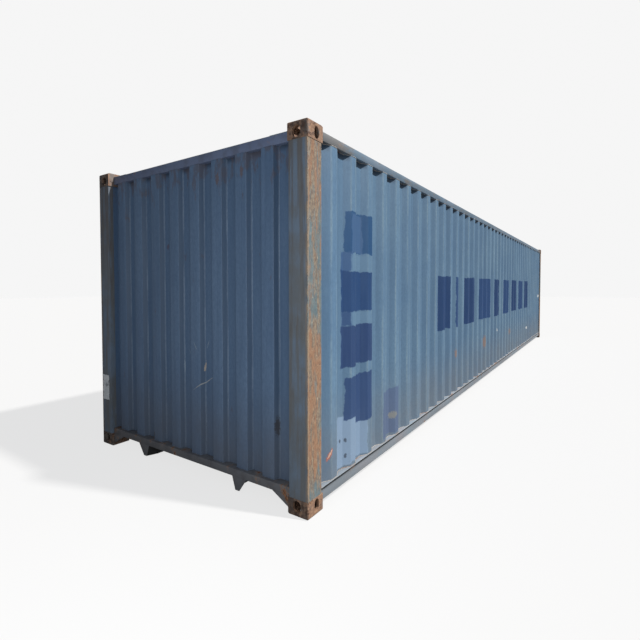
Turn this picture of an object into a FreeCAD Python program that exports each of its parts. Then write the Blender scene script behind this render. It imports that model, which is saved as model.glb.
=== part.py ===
import FreeCAD, Part
import os

# Forty foot dry freight container, standard height.
# +X runs along the length towards the door end, -X is the closed front end.
# +Y is the left side seen facing the doors, +Z is up.
# The origin is the middle of the footprint, on the undersides of the corner castings.
# All sizes are millimetres.

V = FreeCAD.Vector

# ---- overall size
length = 12192.0
width = 2438.0
height = 2591.0

# ---- corner castings
casting_length = 178.0
casting_width = 162.0
casting_height = 118.0
casting_plate = 28.5            # plate that carries the twistlock slot
casting_inner_plate = 10.0      # plate welded to the post
casting_outer_wall = 20.0
casting_back_wall = 12.0        # wall facing along the length, away from the end
casting_inside_wall = 14.0      # wall facing the middle of the container
slot_length = 124.0
slot_width = 63.5
slot_from_end = 103.5
slot_from_side = 89.5
side_hole_width = 51.0
end_hole_width = 63.5

# ---- corner posts
post_sheet = 6.0
post_inset = 3.0                # the posts stand this far inside the castings
front_post_face = 152.0
front_post_flank = 102.0        # fold that the front wall is welded to
rear_post_face = 46.0
post_side = 163.0
post_return = 60.0              # fold that the side wall is welded to

# ---- rails
rail_inset = 8.0
top_rail_size = 60.0
top_rail_wall = 4.0
top_rail_drop = 36.0             # from the castings' tops down to the rail's top
bottom_rail_bottom = 63.0
bottom_rail_sheet = 4.5
bottom_rail_web_inset = 10.0
bottom_rail_ledge_inset = 2.0
bottom_rail_ledge = 53.0
bottom_rail_foot = 46.0
cross_member_top = 150.0

# ---- side walls
side_sheet = 1.8
side_inset = 9.0
side_depth = 36.0
side_crest = 72.0
side_slope = 68.0
side_pitch = 280.5

# ---- front end
front_sheet = 2.0
front_inset = 55.0
front_depth = 44.0
front_crest = 111.0
front_slope = 18.0
front_pitch = 252.8
front_shift = 47.0              # the ribs sit this far towards the left post
front_lap = 50.0                # edge fold that lies against the post
header_height = 65.0
header_depth = 60.0
header_wall = 4.0
sill_inset = 22.0
sill_bottom = 112.0
sill_top = 168.0
sill_sheet = 4.0
sill_depth = 96.0
sill_foot = 60.0
gusset_sheet = 6.0
gusset_start = 157.0            # how far each gusset runs in from its casting
gusset_drop = 88.0

# ---- gooseneck tunnel
tunnel_half_width = 514.5
tunnel_length = 3315.0
tunnel_roof_height = 120.0
tunnel_sheet = 4.5
tunnel_bottom = 12.5
tunnel_foot = 15.0
tunnel_shelf = 40.0
flare_step = 31.5               # the mouth is this much wider at its bottom
flare_tip = 39.0
flare_root = 140.0
flare_run = 90.0                # in which the mouth narrows to the tunnel's width

# ---- floor
floor_thickness = 28.0
floor_board_length = 2400.0
floor_side_gap = 4.0            # between the boards and the rail's ledge
floor_gap = 3.0
cross_member_pitch = 305.0
cross_member_flange = 45.0
cross_member_sheet = 4.0
bow_sheet = 4.0

# ---- roof
roof_sheet = 2.0
roof_rib_pitch = 209.0
roof_rib_base = 150.0
roof_rib_top = 110.0
roof_rib_height = 20.0
roof_rib_end_slope = 40.0
roof_side_margin = 75.0
roof_end_margin = 330.0
roof_side_inset = 20.0
corner_plate_sheet = 3.0
corner_plate_clearance = 10.0    # to the nearest rib
corner_plate_width = 330.0

# ---- door end
rear_inset = 38.0               # plane of the sill, header and door faces
rear_sill_bottom = 20.0
rear_sill_depth = 110.0
rear_sill_foot = 60.0
rear_header_height = 100.0
rear_header_depth = 80.0
rear_sheet = 4.5
door_gap = 10.0
door_depth = 50.0
door_tube_wall = 3.2
door_stile = 100.0
door_rail = 150.0
gasket_inset = 12.0
gasket_depth = 20.0

# ---- hinges
hinge_pin_radius = 8.0
hinge_knuckle_radius = 13.0
hinge_knuckle_height = 60.0
hinge_fit = 0.2
hinge_lug = 12.0
hinge_lug_depth = 26.0
hinge_lug_reach = 36.0
hinge_pin_from_post = 20.0
hinge_pin_inset = 17.0
hinge_pin_head = 6.0
hinge_blade = 8.0
hinge_blade_reach = 90.0
hinge_count = 4
hinge_end_distance = 220.0

# ---- locking gear
bar_radius = 15.0
bar_inset = 22.0
bar_fit = 0.3
bar_overrun = 12.0              # the bar ends this far short of the opening's edge
bracket_width = 70.0
bracket_height = 45.0
bracket_front = 2.5
bracket_count = 4
bracket_end_distance = 75.0
cam_width = 44.0
cam_height = 52.0
cam_front = 8.0
cam_back = 6.0
keeper_sheet = 8.0
keeper_gap = 4.0
keeper_height = 44.0
keeper_offset = 8.0
handle_height = 38.0
handle_thickness = 10.0
handle_overhang = 45.0
handle_rise = 121.0             # first handle above the second bracket
handle_step = 170.0             # second handle above the first
hub_width = 48.0
hub_height = 70.0
hub_front = 4.0
catch_width = 40.0
catch_sheet = 6.0
catch_gap = 0.3

# ---- places worked out from the sizes
half_length = length / 2
half_width = width / 2
post_bottom = casting_height
post_top = height - casting_height
post_line = half_width - post_inset                 # outer face of every post
end_line = half_length - post_inset
front_post_edge = post_line - front_post_face       # inner face of a front post
rear_post_edge = post_line - rear_post_face
post_back = end_line - post_side                    # |x| of the fold behind each post
rail_line = half_width - rail_inset
casting_gap_x = half_length - casting_length        # |x| where the castings begin
casting_gap_y = half_width - casting_width
top_rail_top = height - top_rail_drop
floor_edge = half_width - bottom_rail_ledge_inset - bottom_rail_ledge - floor_side_gap
ledge_top = cross_member_top + bottom_rail_sheet
front_plane = -half_length + front_inset
rear_plane = half_length - rear_inset
header_bottom = top_rail_top - header_height
rear_header_bottom = top_rail_top - rear_header_height
tunnel_start = -half_length + sill_inset + gusset_sheet
tunnel_end = -half_length + tunnel_length
member_start = -casting_gap_x                       # floor members stay clear of the castings
door_bottom = sill_top + door_gap
door_top = rear_header_bottom - door_gap
door_outer = rear_post_edge - door_gap
door_inner = door_gap / 2
hinge_x = half_length - hinge_pin_inset
hinge_y = -rear_post_edge + hinge_pin_from_post
bar_x = half_length - bar_inset
bar_bottom = sill_top + bar_overrun
bar_top = rear_header_bottom - bar_overrun


# ---- helpers

def box(low, high):
    """Solid block between two opposite corners."""
    return Part.makeBox(high[0] - low[0], high[1] - low[1], high[2] - low[2], V(*low))


def prism(points, place, run):
    """Extrude the outline of flat (a, b) points, placed in space by a function."""
    corners = [place(a, b) for a, b in points]
    face = Part.Face(Part.makePolygon(corners + corners[:1]))
    return face.extrude(run)


def offset_line(points, distance):
    """Shift an open line of points to its left by a distance, with mitred corners."""
    normals = []
    for (x1, y1), (x2, y2) in zip(points, points[1:]):
        size = ((x2 - x1) ** 2 + (y2 - y1) ** 2) ** 0.5
        normals.append(((y1 - y2) / size, (x2 - x1) / size))
    before = [normals[0]] + normals
    after = normals + [normals[-1]]
    shifted = []
    for (x, y), (ax, ay), (bx, by) in zip(points, before, after):
        share = distance / (1 + ax * bx + ay * by)
        shifted.append((x + (ax + bx) * share, y + (ay + by) * share))
    return shifted


def sheet(points, thickness):
    """Outline of a bent sheet whose thickness lies to the left of the line of points."""
    return points + offset_line(points, thickness)[::-1]


def level(z):
    """Place (x, y) points on a level plane."""
    return lambda x, y: V(x, y, z)


def across(y):
    """Place (x, z) points on an upright plane along the length."""
    return lambda x, z: V(x, y, z)


def endwise(x):
    """Place (y, z) points on an upright plane across the length."""
    return lambda y, z: V(x, y, z)


def square_tube(low, high, wall, axis):
    """Straight tube along an axis (0 is x, 1 is y, 2 is z), open at both ends."""
    inner_low = [v if i == axis else v + wall for i, v in enumerate(low)]
    inner_high = [v if i == axis else v - wall for i, v in enumerate(high)]
    return box(low, high).cut(box(inner_low, inner_high))


def flip_y(shape):
    """The same piece on the other side of the container."""
    return shape.mirror(V(0, 0, 0), V(0, 1, 0))


def flip_x(shape):
    """The same piece at the other end of the container."""
    return shape.mirror(V(0, 0, 0), V(1, 0, 0))


def stack(shapes):
    """Several solids that share a node."""
    return Part.makeCompound([solid for shape in shapes for solid in shape.Solids])


def evenly(first, last, count):
    """Evenly spaced values from first to last."""
    return [first + (last - first) * i / (count - 1) for i in range(count)]


def casting_blocks():
    """Plain blocks that the eight castings fill, to fit other pieces round them."""
    block = box((-half_length, -half_width, 0),
                (-half_length + casting_length, -half_width + casting_width, casting_height))
    bottom = [block, flip_y(block)]
    bottom += [flip_x(b) for b in bottom]
    top = [b.translated(V(0, 0, post_top)) for b in bottom]
    return bottom + top


def post_blocks():
    """Plain blocks that the four posts stand in."""
    front = box((-end_line, -post_line, post_bottom), (-post_back, -front_post_edge, post_top))
    rear = box((post_back, -post_line, post_bottom), (end_line, -rear_post_edge, post_top))
    return [front, flip_y(front), rear, flip_y(rear)]


def fitted(shape):
    """Cut a piece to fit round the castings, keeping the solids that are left."""
    return stack([shape.cut(casting_blocks())])


def in_three(shape, half_x, half_y):
    """A piece as its stretch within a middle block and what lies past it, fitted to the castings."""
    middle = box((-half_x, -half_y, 0), (half_x, half_y, height))
    return stack([shape.common(middle), fitted(shape.cut(middle))])


def notched(shape):
    """Cut a piece to fit round the castings and the posts."""
    return stack([shape.cut(casting_blocks() + post_blocks())])


# ---- castings

def slot(long_size, short_size, depth):
    """Rounded slot, long way along x, centred on the origin and rising from z = 0."""
    radius = short_size / 2
    straight = (long_size - short_size) / 2
    body = box((-straight, -radius, 0), (straight, radius, depth))
    for end in (-straight, straight):
        body = body.fuse(Part.makeCylinder(radius, depth, V(end, 0, 0)))
    return body.removeSplitter()


def corner_casting():
    """Front right bottom casting, with its cavity, twistlock slot and two lifting holes."""
    x0, y0 = -half_length, -half_width
    hole_height = casting_height - casting_plate - casting_inner_plate
    hole_z = casting_plate + hole_height / 2
    block = box((x0, y0, 0), (x0 + casting_length, y0 + casting_width, casting_height))
    cavity = box((x0 + casting_outer_wall, y0 + casting_outer_wall, casting_plate),
                 (x0 + casting_length - casting_back_wall,
                  y0 + casting_width - casting_inside_wall, casting_plate + hole_height))
    twistlock = slot(slot_length, slot_width, casting_plate)
    twistlock.translate(V(x0 + slot_from_end, y0 + slot_from_side, 0))
    end_hole = slot(hole_height, end_hole_width, casting_outer_wall)
    end_hole.rotate(V(0, 0, 0), V(0, 1, 0), 90)
    end_hole.translate(V(x0, y0 + slot_from_side, hole_z))
    side_hole = slot(hole_height, side_hole_width, casting_outer_wall)
    side_hole.rotate(V(0, 0, 0), V(0, 1, 0), 90)
    side_hole.rotate(V(0, 0, 0), V(0, 0, 1), 90)
    side_hole.translate(V(x0 + slot_from_end, y0, hole_z))
    return block.cut([cavity, twistlock, end_hole, side_hole])


def castings():
    """All eight castings by name."""
    made = {}
    first = corner_casting()
    first_top = first.mirror(V(0, 0, height / 2), V(0, 0, 1))
    for tier, piece in (("bottom", first), ("top", first_top)):
        made["casting_front_%s_right" % tier] = piece
        made["casting_front_%s_left" % tier] = flip_y(piece)
        made["casting_rear_%s_right" % tier] = flip_x(piece)
        made["casting_rear_%s_left" % tier] = flip_x(flip_y(piece))
    return made


# ---- posts

def front_post():
    """Right front post: a pressed section, open towards the inside."""
    line = [(-end_line + front_post_flank, -front_post_edge),
            (-end_line, -front_post_edge),
            (-end_line, -post_line),
            (-post_back, -post_line),
            (-post_back, -post_line + post_return)]
    return prism(sheet(line, post_sheet), level(post_bottom), V(0, 0, post_top - post_bottom))


def rear_post():
    """Right rear post: a narrow closed section beside the doors."""
    return square_tube((post_back, -post_line, post_bottom), (end_line, -rear_post_edge, post_top),
                       post_sheet, 2)


# ---- corrugated walls

def rib_centres(start, end, crest, slope, pitch):
    """Middles of the crests that fit between two edges, with an equal trough at each edge."""
    rib = crest + 2 * slope
    count = round((end - start - (pitch - rib)) / pitch)
    trough = (end - start - count * rib) / (count + 1)
    return [start + trough + rib / 2 + i * (rib + trough) for i in range(count)]


def ribbed_line(start, end, centres, crest, slope, outer, inner):
    """Line of points of a corrugated sheet; crests lie at outer, troughs at inner."""
    points = [(start, inner)]
    for centre in centres:
        points.append((centre - crest / 2 - slope, inner))
        points.append((centre - crest / 2, outer))
        points.append((centre + crest / 2, outer))
        points.append((centre + crest / 2 + slope, inner))
    points.append((end, inner))
    return points


def side_wall():
    """Right side wall, standing on the bottom rail's ledge, under the top rail."""
    crest_line = -half_width + side_inset
    centres = rib_centres(-post_back, post_back, side_crest, side_slope, side_pitch)
    line = ribbed_line(-post_back, post_back, centres, side_crest, side_slope,
                       crest_line, crest_line + side_depth)
    wall_top = top_rail_top - top_rail_size
    wall = prism(sheet(line, side_sheet), level(ledge_top), V(0, 0, wall_top - ledge_top))
    return fitted(wall)


def front_wall():
    """Corrugated front wall between the posts, with an edge fold against each post."""
    edge = front_post_edge - front_sheet
    trough_plane = front_plane + front_depth
    lap_plane = -half_length + front_lap
    rib = front_crest + 2 * front_slope
    count = round((2 * edge - 2 * front_inset) / front_pitch)
    first = front_shift - front_pitch * (count - 1) / 2
    centres = [first + i * front_pitch for i in range(count)]
    rows = ribbed_line(-edge, edge, centres, front_crest, front_slope, front_plane, trough_plane)
    line = [(x, y) for y, x in rows]
    line = [(lap_plane, -edge)] + line + [(lap_plane, edge)]
    outline = sheet(line, -front_sheet)
    wall = prism(outline, level(sill_top), V(0, 0, header_bottom - sill_top))
    return fitted(wall)


# ---- front frame

def front_header():
    """Square tube across the top of the front end, between the castings."""
    return square_tube((front_plane, -casting_gap_y, header_bottom),
                       (front_plane + header_depth, casting_gap_y, top_rail_top), header_wall, 1)


def front_sill():
    """Pressed channel under the front wall, with its face ahead of the wall."""
    face = -half_length + sill_inset
    line = [(face + sill_foot, sill_bottom), (face, sill_bottom),
            (face, sill_top), (face + sill_depth, sill_top)]
    outline = sheet(line, -sill_sheet)
    sill = prism(outline, across(-front_post_edge), V(0, 2 * front_post_edge, 0))
    return fitted(sill)


def sill_gussets():
    """Triangular plates from the sill down to the bottom castings."""
    face = -half_length + sill_inset
    outline = [(-casting_gap_y, sill_bottom), (-casting_gap_y, sill_bottom - gusset_drop),
               (-casting_gap_y + gusset_start, sill_bottom)]
    gusset = prism(outline, endwise(face), V(gusset_sheet, 0, 0))
    return stack([gusset, flip_y(gusset)])


# ---- gooseneck tunnel

def tunnel_flares():
    """Pointed plates that guide the chassis neck into the tunnel's mouth."""
    face = -half_length + sill_inset
    outline = [(tunnel_half_width, sill_bottom),
               (tunnel_half_width + flare_step, tunnel_bottom),
               (tunnel_half_width + flare_step + flare_tip, tunnel_bottom),
               (tunnel_half_width + flare_root, sill_bottom)]
    flare = prism(outline, endwise(face), V(gusset_sheet, 0, 0))
    return stack([flare, flip_y(flare)])


def bent_out(x, z):
    """Place (x, z) points on the slanted guide behind the right flare's inner edge."""
    drop = (sill_bottom - z) / (sill_bottom - tunnel_bottom)
    along = (x - tunnel_start) / flare_run
    return V(x, -tunnel_half_width - flare_step * (drop - along), z)


def tunnel_side():
    """Right side of the tunnel: a pressed channel whose lower front corner is bent outwards."""
    inner = -tunnel_half_width
    line = [(inner - tunnel_foot, tunnel_bottom), (inner, tunnel_bottom),
            (inner, cross_member_top), (inner - tunnel_shelf, cross_member_top)]
    outline = sheet(line, tunnel_sheet)
    side = prism(outline, endwise(tunnel_start), V(tunnel_end - tunnel_start, 0, 0))
    corner = [(tunnel_start, tunnel_bottom), (tunnel_start + flare_run, tunnel_bottom),
              (tunnel_start, sill_bottom)]
    side = side.cut([front_sill(), prism(corner, across(inner), V(0, -tunnel_foot, 0))])
    return side.fuse(prism(corner, bent_out, V(0, -tunnel_sheet, 0)))


def tunnel_roof():
    """Flat plate over the tunnel, tucked between its two sides."""
    return box((tunnel_start + sill_foot, -tunnel_half_width, tunnel_roof_height),
               (tunnel_end, tunnel_half_width, tunnel_roof_height + tunnel_sheet))


def member_places(start, end):
    """Evenly spaced places for floor members between two ends, one at each end."""
    run = end - start - cross_member_flange
    count = max(2, round(run / cross_member_pitch) + 1)
    return evenly(start, start + run, count)


def channel(x, low, high, y0, y1, thickness):
    """C section across the container, with its flanges pointing to the rear."""
    line = [(x + cross_member_flange, low), (x, low), (x, high), (x + cross_member_flange, high)]
    return prism(sheet(line, -thickness), across(y0), V(0, y1 - y0, 0))


def floor_start():
    """Rear edge of the front sill, where the floor begins."""
    return -half_length + sill_inset + sill_depth + floor_gap


def floor_end():
    """Front edge of the rear sill, where the floor ends."""
    return rear_plane - rear_sill_depth - floor_gap


def tunnel_bows():
    """Shallow channels that carry the floor over the tunnel."""
    low = tunnel_roof_height + tunnel_sheet
    places = member_places(member_start, tunnel_end)
    edge = tunnel_half_width
    return stack([channel(x, low, cross_member_top, -edge, edge, bow_sheet) for x in places])


def cross_members():
    """Floor members: short ones beside the tunnel, full ones from there to the doors."""
    outer = half_width - bottom_rail_web_inset - bottom_rail_sheet
    inner = tunnel_half_width + tunnel_shelf
    low = bottom_rail_bottom + bottom_rail_sheet
    pieces = []
    for x in member_places(member_start, tunnel_end):
        stub = channel(x, low, cross_member_top, -outer, -inner, cross_member_sheet)
        pieces += [stub, flip_y(stub)]
    for x in member_places(tunnel_end, -member_start):
        pieces.append(channel(x, low, cross_member_top, -outer, outer, cross_member_sheet))
    return stack(pieces)


# ---- rails and floor

def top_rail():
    """Right top rail, a square tube between the castings."""
    return square_tube((-casting_gap_x, -rail_line, top_rail_top - top_rail_size),
                       (casting_gap_x, -rail_line + top_rail_size, top_rail_top),
                       top_rail_wall, 0)


def bottom_rail():
    """Right bottom rail: a pressed channel whose ledge stands proud and carries the wall."""
    web = -half_width + bottom_rail_web_inset
    ledge = -half_width + bottom_rail_ledge_inset
    low = bottom_rail_bottom
    upright = sheet([(web + bottom_rail_foot, low), (web, low), (web, cross_member_top)],
                    -bottom_rail_sheet)
    shelf = [(ledge, cross_member_top), (ledge + bottom_rail_ledge, cross_member_top),
             (ledge + bottom_rail_ledge, ledge_top), (ledge, ledge_top)]
    run = V(2 * post_back, 0, 0)
    rail = prism(upright, endwise(-post_back), run).fuse(prism(shelf, endwise(-post_back), run))
    return fitted(rail.removeSplitter())


def floor():
    """Plywood boards laid in pairs across the cross members."""
    start, end = floor_start(), floor_end()
    count = max(1, round((end - start) / floor_board_length))
    step = (end - start + floor_gap) / count
    boards = []
    for i in range(count):
        low = (start + i * step, -floor_edge, cross_member_top)
        high = (start + (i + 1) * step - floor_gap, -floor_gap / 2,
                cross_member_top + floor_thickness)
        board = box(low, high)
        boards += [board, flip_y(board)]
    return notched(stack(boards))


# ---- roof

def rectangle(x, half_x, half_y, z):
    """Level rectangular wire, centred at x on the middle line."""
    corners = [V(x - half_x, -half_y, z), V(x + half_x, -half_y, z),
               V(x + half_x, half_y, z), V(x - half_x, half_y, z)]
    return Part.makePolygon(corners + corners[:1])


def roof_rib(x):
    """One raised rib of the roof, as a solid that tapers upwards at its sides and ends."""
    half_run = rail_line - roof_side_margin
    foot = top_rail_top + roof_sheet
    lower = rectangle(x, roof_rib_base / 2, half_run, foot)
    upper = rectangle(x, roof_rib_top / 2, half_run - roof_rib_end_slope, foot + roof_rib_height)
    return Part.makeLoft([lower, upper], True, True)


def roof_skin(z):
    """Roof block whose upper face is the roof's outer face, raised or lowered by z."""
    edge_x = -front_plane
    edge_y = rail_line - roof_side_inset
    top = top_rail_top + roof_sheet
    slab = box((front_plane, -edge_y, top_rail_top - 2 * roof_rib_height),
               (rear_plane - post_inset, edge_y, top))
    run = evenly(-edge_x + roof_end_margin, edge_x - roof_end_margin,
                 1 + round((2 * edge_x - 2 * roof_end_margin) / roof_rib_pitch))
    block = slab.fuse([roof_rib(x) for x in run])
    block.translate(V(0, 0, z))
    return block


def roof():
    """Stamped roof sheet with ribs across it, and a flat plate between the castings at each end."""
    skin = roof_skin(0).cut(roof_skin(-roof_sheet))
    keep = box((-length, -width, top_rail_top), (length, width, height))
    return in_three(skin.common(keep), casting_gap_x, half_width)


def roof_corner_plates():
    """Flat plates that protect the roof beside each top casting."""
    low = top_rail_top + roof_sheet
    plate_length = roof_end_margin - roof_rib_base / 2 - corner_plate_clearance
    plate = box((front_plane, -rail_line + roof_side_inset, low),
                (front_plane + plate_length,
                 -rail_line + roof_side_inset + corner_plate_width, low + corner_plate_sheet))
    plates = [plate, flip_y(plate)]
    plates += [flip_x(p) for p in plates]
    return in_three(stack(plates), casting_gap_x, half_width)


# ---- door end frame

def rear_header():
    """Box section over the doors, between the rear posts."""
    tube = square_tube((rear_plane - rear_header_depth, -rear_post_edge, rear_header_bottom),
                       (rear_plane, rear_post_edge, top_rail_top), rear_sheet, 1)
    return in_three(tube, half_length, casting_gap_y)


def rear_sill():
    """Pressed channel under the doors, with its face to the rear."""
    line = [(rear_plane - rear_sill_foot, rear_sill_bottom), (rear_plane, rear_sill_bottom),
            (rear_plane, sill_top), (rear_plane - rear_sill_depth, sill_top)]
    sill = prism(sheet(line, rear_sheet), across(-rear_post_edge), V(0, 2 * rear_post_edge, 0))
    return in_three(sill, half_length, casting_gap_y)


# ---- doors

def door_frame():
    """Four tubes round the right door leaf: two stiles and two rails between them."""
    x0, x1 = rear_plane - door_depth, rear_plane
    pieces = []
    for y in (-door_outer, -door_inner - door_stile):
        pieces.append(square_tube((x0, y, door_bottom), (x1, y + door_stile, door_top),
                                  door_tube_wall, 2))
    for z in (door_bottom, door_top - door_rail):
        pieces.append(square_tube((x0, -door_outer + door_stile, z),
                                  (x1, -door_inner - door_stile, z + door_rail),
                                  door_tube_wall, 1))
    return stack(pieces)


def door_rib_centres():
    """Middles of the crests of the right door's panel."""
    return rib_centres(-door_outer + door_stile, -door_inner - door_stile,
                       side_crest, side_slope, side_pitch)


def door_panel():
    """Corrugated panel inside the right door's frame."""
    start, end = -door_outer + door_stile, -door_inner - door_stile
    rows = ribbed_line(start, end, door_rib_centres(), side_crest, side_slope,
                       rear_plane, rear_plane - side_depth)
    line = [(x, y) for y, x in rows]
    return prism(sheet(line, front_sheet), level(door_bottom + door_rail),
                 V(0, 0, door_top - door_bottom - 2 * door_rail))


def door_gaskets():
    """Rubber strips in the gaps round and between the two leaves."""
    x1 = rear_plane - gasket_inset
    x0 = x1 - gasket_depth
    side = box((x0, -rear_post_edge, door_bottom), (x1, -door_outer, door_top))
    middle = box((x0, -door_inner, door_bottom), (x1, door_inner, door_top))
    lower = box((x0, -rear_post_edge, sill_top), (x1, rear_post_edge, door_bottom))
    upper = box((x0, -rear_post_edge, door_top), (x1, rear_post_edge, rear_header_bottom))
    return stack([side, flip_y(side), middle, lower, upper])


# ---- hinges

def hinge_levels():
    """Heights of the hinges on each door."""
    return evenly(door_bottom + hinge_end_distance, door_top - hinge_end_distance, hinge_count)


def hinge_blades():
    """Straps on the right door, each ending in a knuckle round its pin."""
    pieces = []
    for z in hinge_levels():
        low = z - hinge_knuckle_height / 2
        knuckle = Part.makeCylinder(hinge_knuckle_radius, hinge_knuckle_height,
                                    V(hinge_x, hinge_y, low))
        strap = box((rear_plane, hinge_y, low),
                    (rear_plane + hinge_blade, hinge_y + hinge_blade_reach,
                     low + hinge_knuckle_height))
        web = box((rear_plane, hinge_y, low),
                  (hinge_x, hinge_y + hinge_knuckle_radius, low + hinge_knuckle_height))
        bore = Part.makeCylinder(hinge_pin_radius + hinge_fit, hinge_knuckle_height,
                                 V(hinge_x, hinge_y, low))
        pieces.append(knuckle.fuse([strap, web]).cut(bore).removeSplitter())
    return stack(pieces)


def hinge_lugs():
    """Pairs of lugs on the right rear post, above and below each knuckle."""
    pieces = []
    for z in hinge_levels():
        for low in (z - hinge_knuckle_height / 2 - hinge_lug, z + hinge_knuckle_height / 2):
            plate = box((half_length - hinge_lug_depth - bracket_front, -rear_post_edge, low),
                        (half_length - bracket_front, -rear_post_edge + hinge_lug_reach,
                         low + hinge_lug))
            bore = Part.makeCylinder(hinge_pin_radius + hinge_fit, hinge_lug,
                                     V(hinge_x, hinge_y, low))
            pieces.append(plate.cut(bore))
    return stack(pieces)


def hinge_pins():
    """Headed pins through the lugs and knuckles."""
    pieces = []
    for z in hinge_levels():
        top = z + hinge_knuckle_height / 2 + hinge_lug
        shank = hinge_knuckle_height + 2 * hinge_lug
        pin = Part.makeCylinder(hinge_pin_radius, shank, V(hinge_x, hinge_y, top - shank))
        head = Part.makeCylinder(hinge_knuckle_radius, hinge_pin_head, V(hinge_x, hinge_y, top))
        pieces.append(pin.fuse(head).removeSplitter())
    return stack(pieces)


# ---- locking gear

def bar_places():
    """The right door's two locking bars stand over its outermost ribs."""
    centres = door_rib_centres()
    return [centres[0], centres[-1]]


def lock_bars():
    """Two upright locking bars."""
    return stack([Part.makeCylinder(bar_radius, bar_top - bar_bottom, V(bar_x, y, bar_bottom))
                  for y in bar_places()])


def bracket_levels():
    """Heights of the brackets on each bar."""
    return evenly(door_bottom + bracket_end_distance, door_top - bracket_end_distance,
                  bracket_count)


def bar_brackets():
    """Bearing blocks that hold the bars against the door."""
    pieces = []
    for y in bar_places():
        for z in bracket_levels():
            block = box((rear_plane, y - bracket_width / 2, z - bracket_height / 2),
                        (half_length - bracket_front, y + bracket_width / 2,
                         z + bracket_height / 2))
            bore = Part.makeCylinder(bar_radius + bar_fit, bracket_height,
                                     V(bar_x, y, z - bracket_height / 2))
            pieces.append(block.cut(bore))
    return stack(pieces)


def cams():
    """Locking cams on both ends of each bar."""
    pieces = []
    for y in bar_places():
        for low in (bar_bottom - cam_height, bar_top):
            pieces.append(box((rear_plane + cam_back, y - cam_width / 2, low),
                              (half_length - cam_front, y + cam_width / 2, low + cam_height)))
    return stack(pieces)


def keepers():
    """Forked keepers on the sill and header that trap the cams."""
    pieces = []
    inner = cam_width / 2 + keeper_gap
    outer = inner + keeper_sheet
    for y in bar_places():
        for low in (bar_bottom - cam_height + keeper_offset - bar_overrun,
                    bar_top + cam_height - keeper_offset + bar_overrun - keeper_height):
            block = box((rear_plane, y - outer, low),
                        (half_length - bracket_front, y + outer, low + keeper_height))
            throat = box((rear_plane + cam_back - keeper_gap / 2, y - inner, low),
                         (half_length, y + inner, low + keeper_height))
            pieces.append(block.cut(throat))
    return stack(pieces)


def handle_rows():
    """Each handle's bar, its height and the way it points along y."""
    bars = bar_places()
    low = bracket_levels()[1] + handle_rise
    return ((bars[0], low, 1), (bars[1], low + handle_step, -1))


def handle_reach():
    """A handle ends past the middle rib, where its catch stands."""
    centres = door_rib_centres()
    return centres[len(centres) // 2] - centres[0]


def handles():
    """Flat handles, each with a hub round its bar."""
    pieces = []
    for y, z, way in handle_rows():
        end = y + way * (handle_reach() + handle_overhang)
        flat = box((bar_x - handle_thickness / 2, min(y, end), z - handle_height / 2),
                   (bar_x + handle_thickness / 2, max(y, end), z + handle_height / 2))
        hub = box((rear_plane + bar_fit, y - hub_width / 2, z - hub_height / 2),
                  (half_length - hub_front, y + hub_width / 2, z + hub_height / 2))
        bore = Part.makeCylinder(bar_radius + bar_fit, hub_height, V(bar_x, y, z - hub_height / 2))
        pieces.append(flat.fuse(hub).cut(bore).removeSplitter())
    return stack(pieces)


def handle_catches():
    """Brackets on the door that hold the handles' free ends."""
    pieces = []
    grip = handle_height / 2 + catch_gap
    for y, z, way in handle_rows():
        middle = y + way * handle_reach()
        front = bar_x + handle_thickness / 2 + catch_gap
        block = box((rear_plane, middle - catch_width / 2, z - grip - catch_sheet),
                    (front + catch_sheet, middle + catch_width / 2, z + grip + catch_sheet))
        throat = box((rear_plane + catch_sheet, middle - catch_width / 2, z - grip),
                     (front, middle + catch_width / 2, z + grip))
        pieces.append(block.cut(throat))
    return stack(pieces)


# ---- all nodes

def both_sides(name, piece):
    """A piece and its mirror image as two nodes."""
    return {name + "_right": piece, name + "_left": flip_y(piece)}


def paired(piece):
    """A piece and its mirror image in one node."""
    return stack([piece, flip_y(piece)])


def container():
    """Every node of the container by name."""
    nodes = castings()
    nodes.update(both_sides("front_post", front_post()))
    nodes.update(both_sides("rear_post", rear_post()))
    nodes.update(both_sides("top_rail", top_rail()))
    nodes.update(both_sides("bottom_rail", bottom_rail()))
    nodes.update(both_sides("side_wall", side_wall()))
    nodes.update(both_sides("tunnel_side", tunnel_side()))
    nodes.update(both_sides("door_frame", door_frame()))
    nodes.update(both_sides("door_panel", door_panel()))
    nodes["front_wall"] = front_wall()
    nodes["front_header"] = front_header()
    nodes["front_sill"] = front_sill()
    nodes["sill_gussets"] = sill_gussets()
    nodes["tunnel_flares"] = tunnel_flares()
    nodes["tunnel_roof"] = tunnel_roof()
    nodes["tunnel_bows"] = tunnel_bows()
    nodes["cross_members"] = cross_members()
    nodes["floor"] = floor()
    nodes["roof"] = roof()
    nodes["roof_corner_plates"] = roof_corner_plates()
    nodes["rear_header"] = rear_header()
    nodes["rear_sill"] = rear_sill()
    nodes["door_gaskets"] = door_gaskets()
    nodes["hinge_blades"] = paired(hinge_blades())
    nodes["hinge_lugs"] = paired(stack([hinge_lugs(), hinge_pins()]))
    nodes["lock_bars"] = paired(lock_bars())
    nodes["bar_brackets"] = paired(bar_brackets())
    nodes["lock_cams"] = paired(cams())
    nodes["cam_keepers"] = paired(keepers())
    nodes["door_handles"] = paired(stack([handles(), handle_catches()]))
    return nodes


os.makedirs("parts", exist_ok=True)
for name, shape in container().items():
    solids = shape.Solids
    piece = solids[0] if len(solids) == 1 else Part.makeCompound(solids)
    piece.exportStep("parts/%s.step" % name)
    print("%-28s %3d solids  %9.1f cm3" % (name, len(solids), piece.Volume / 1000))
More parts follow.
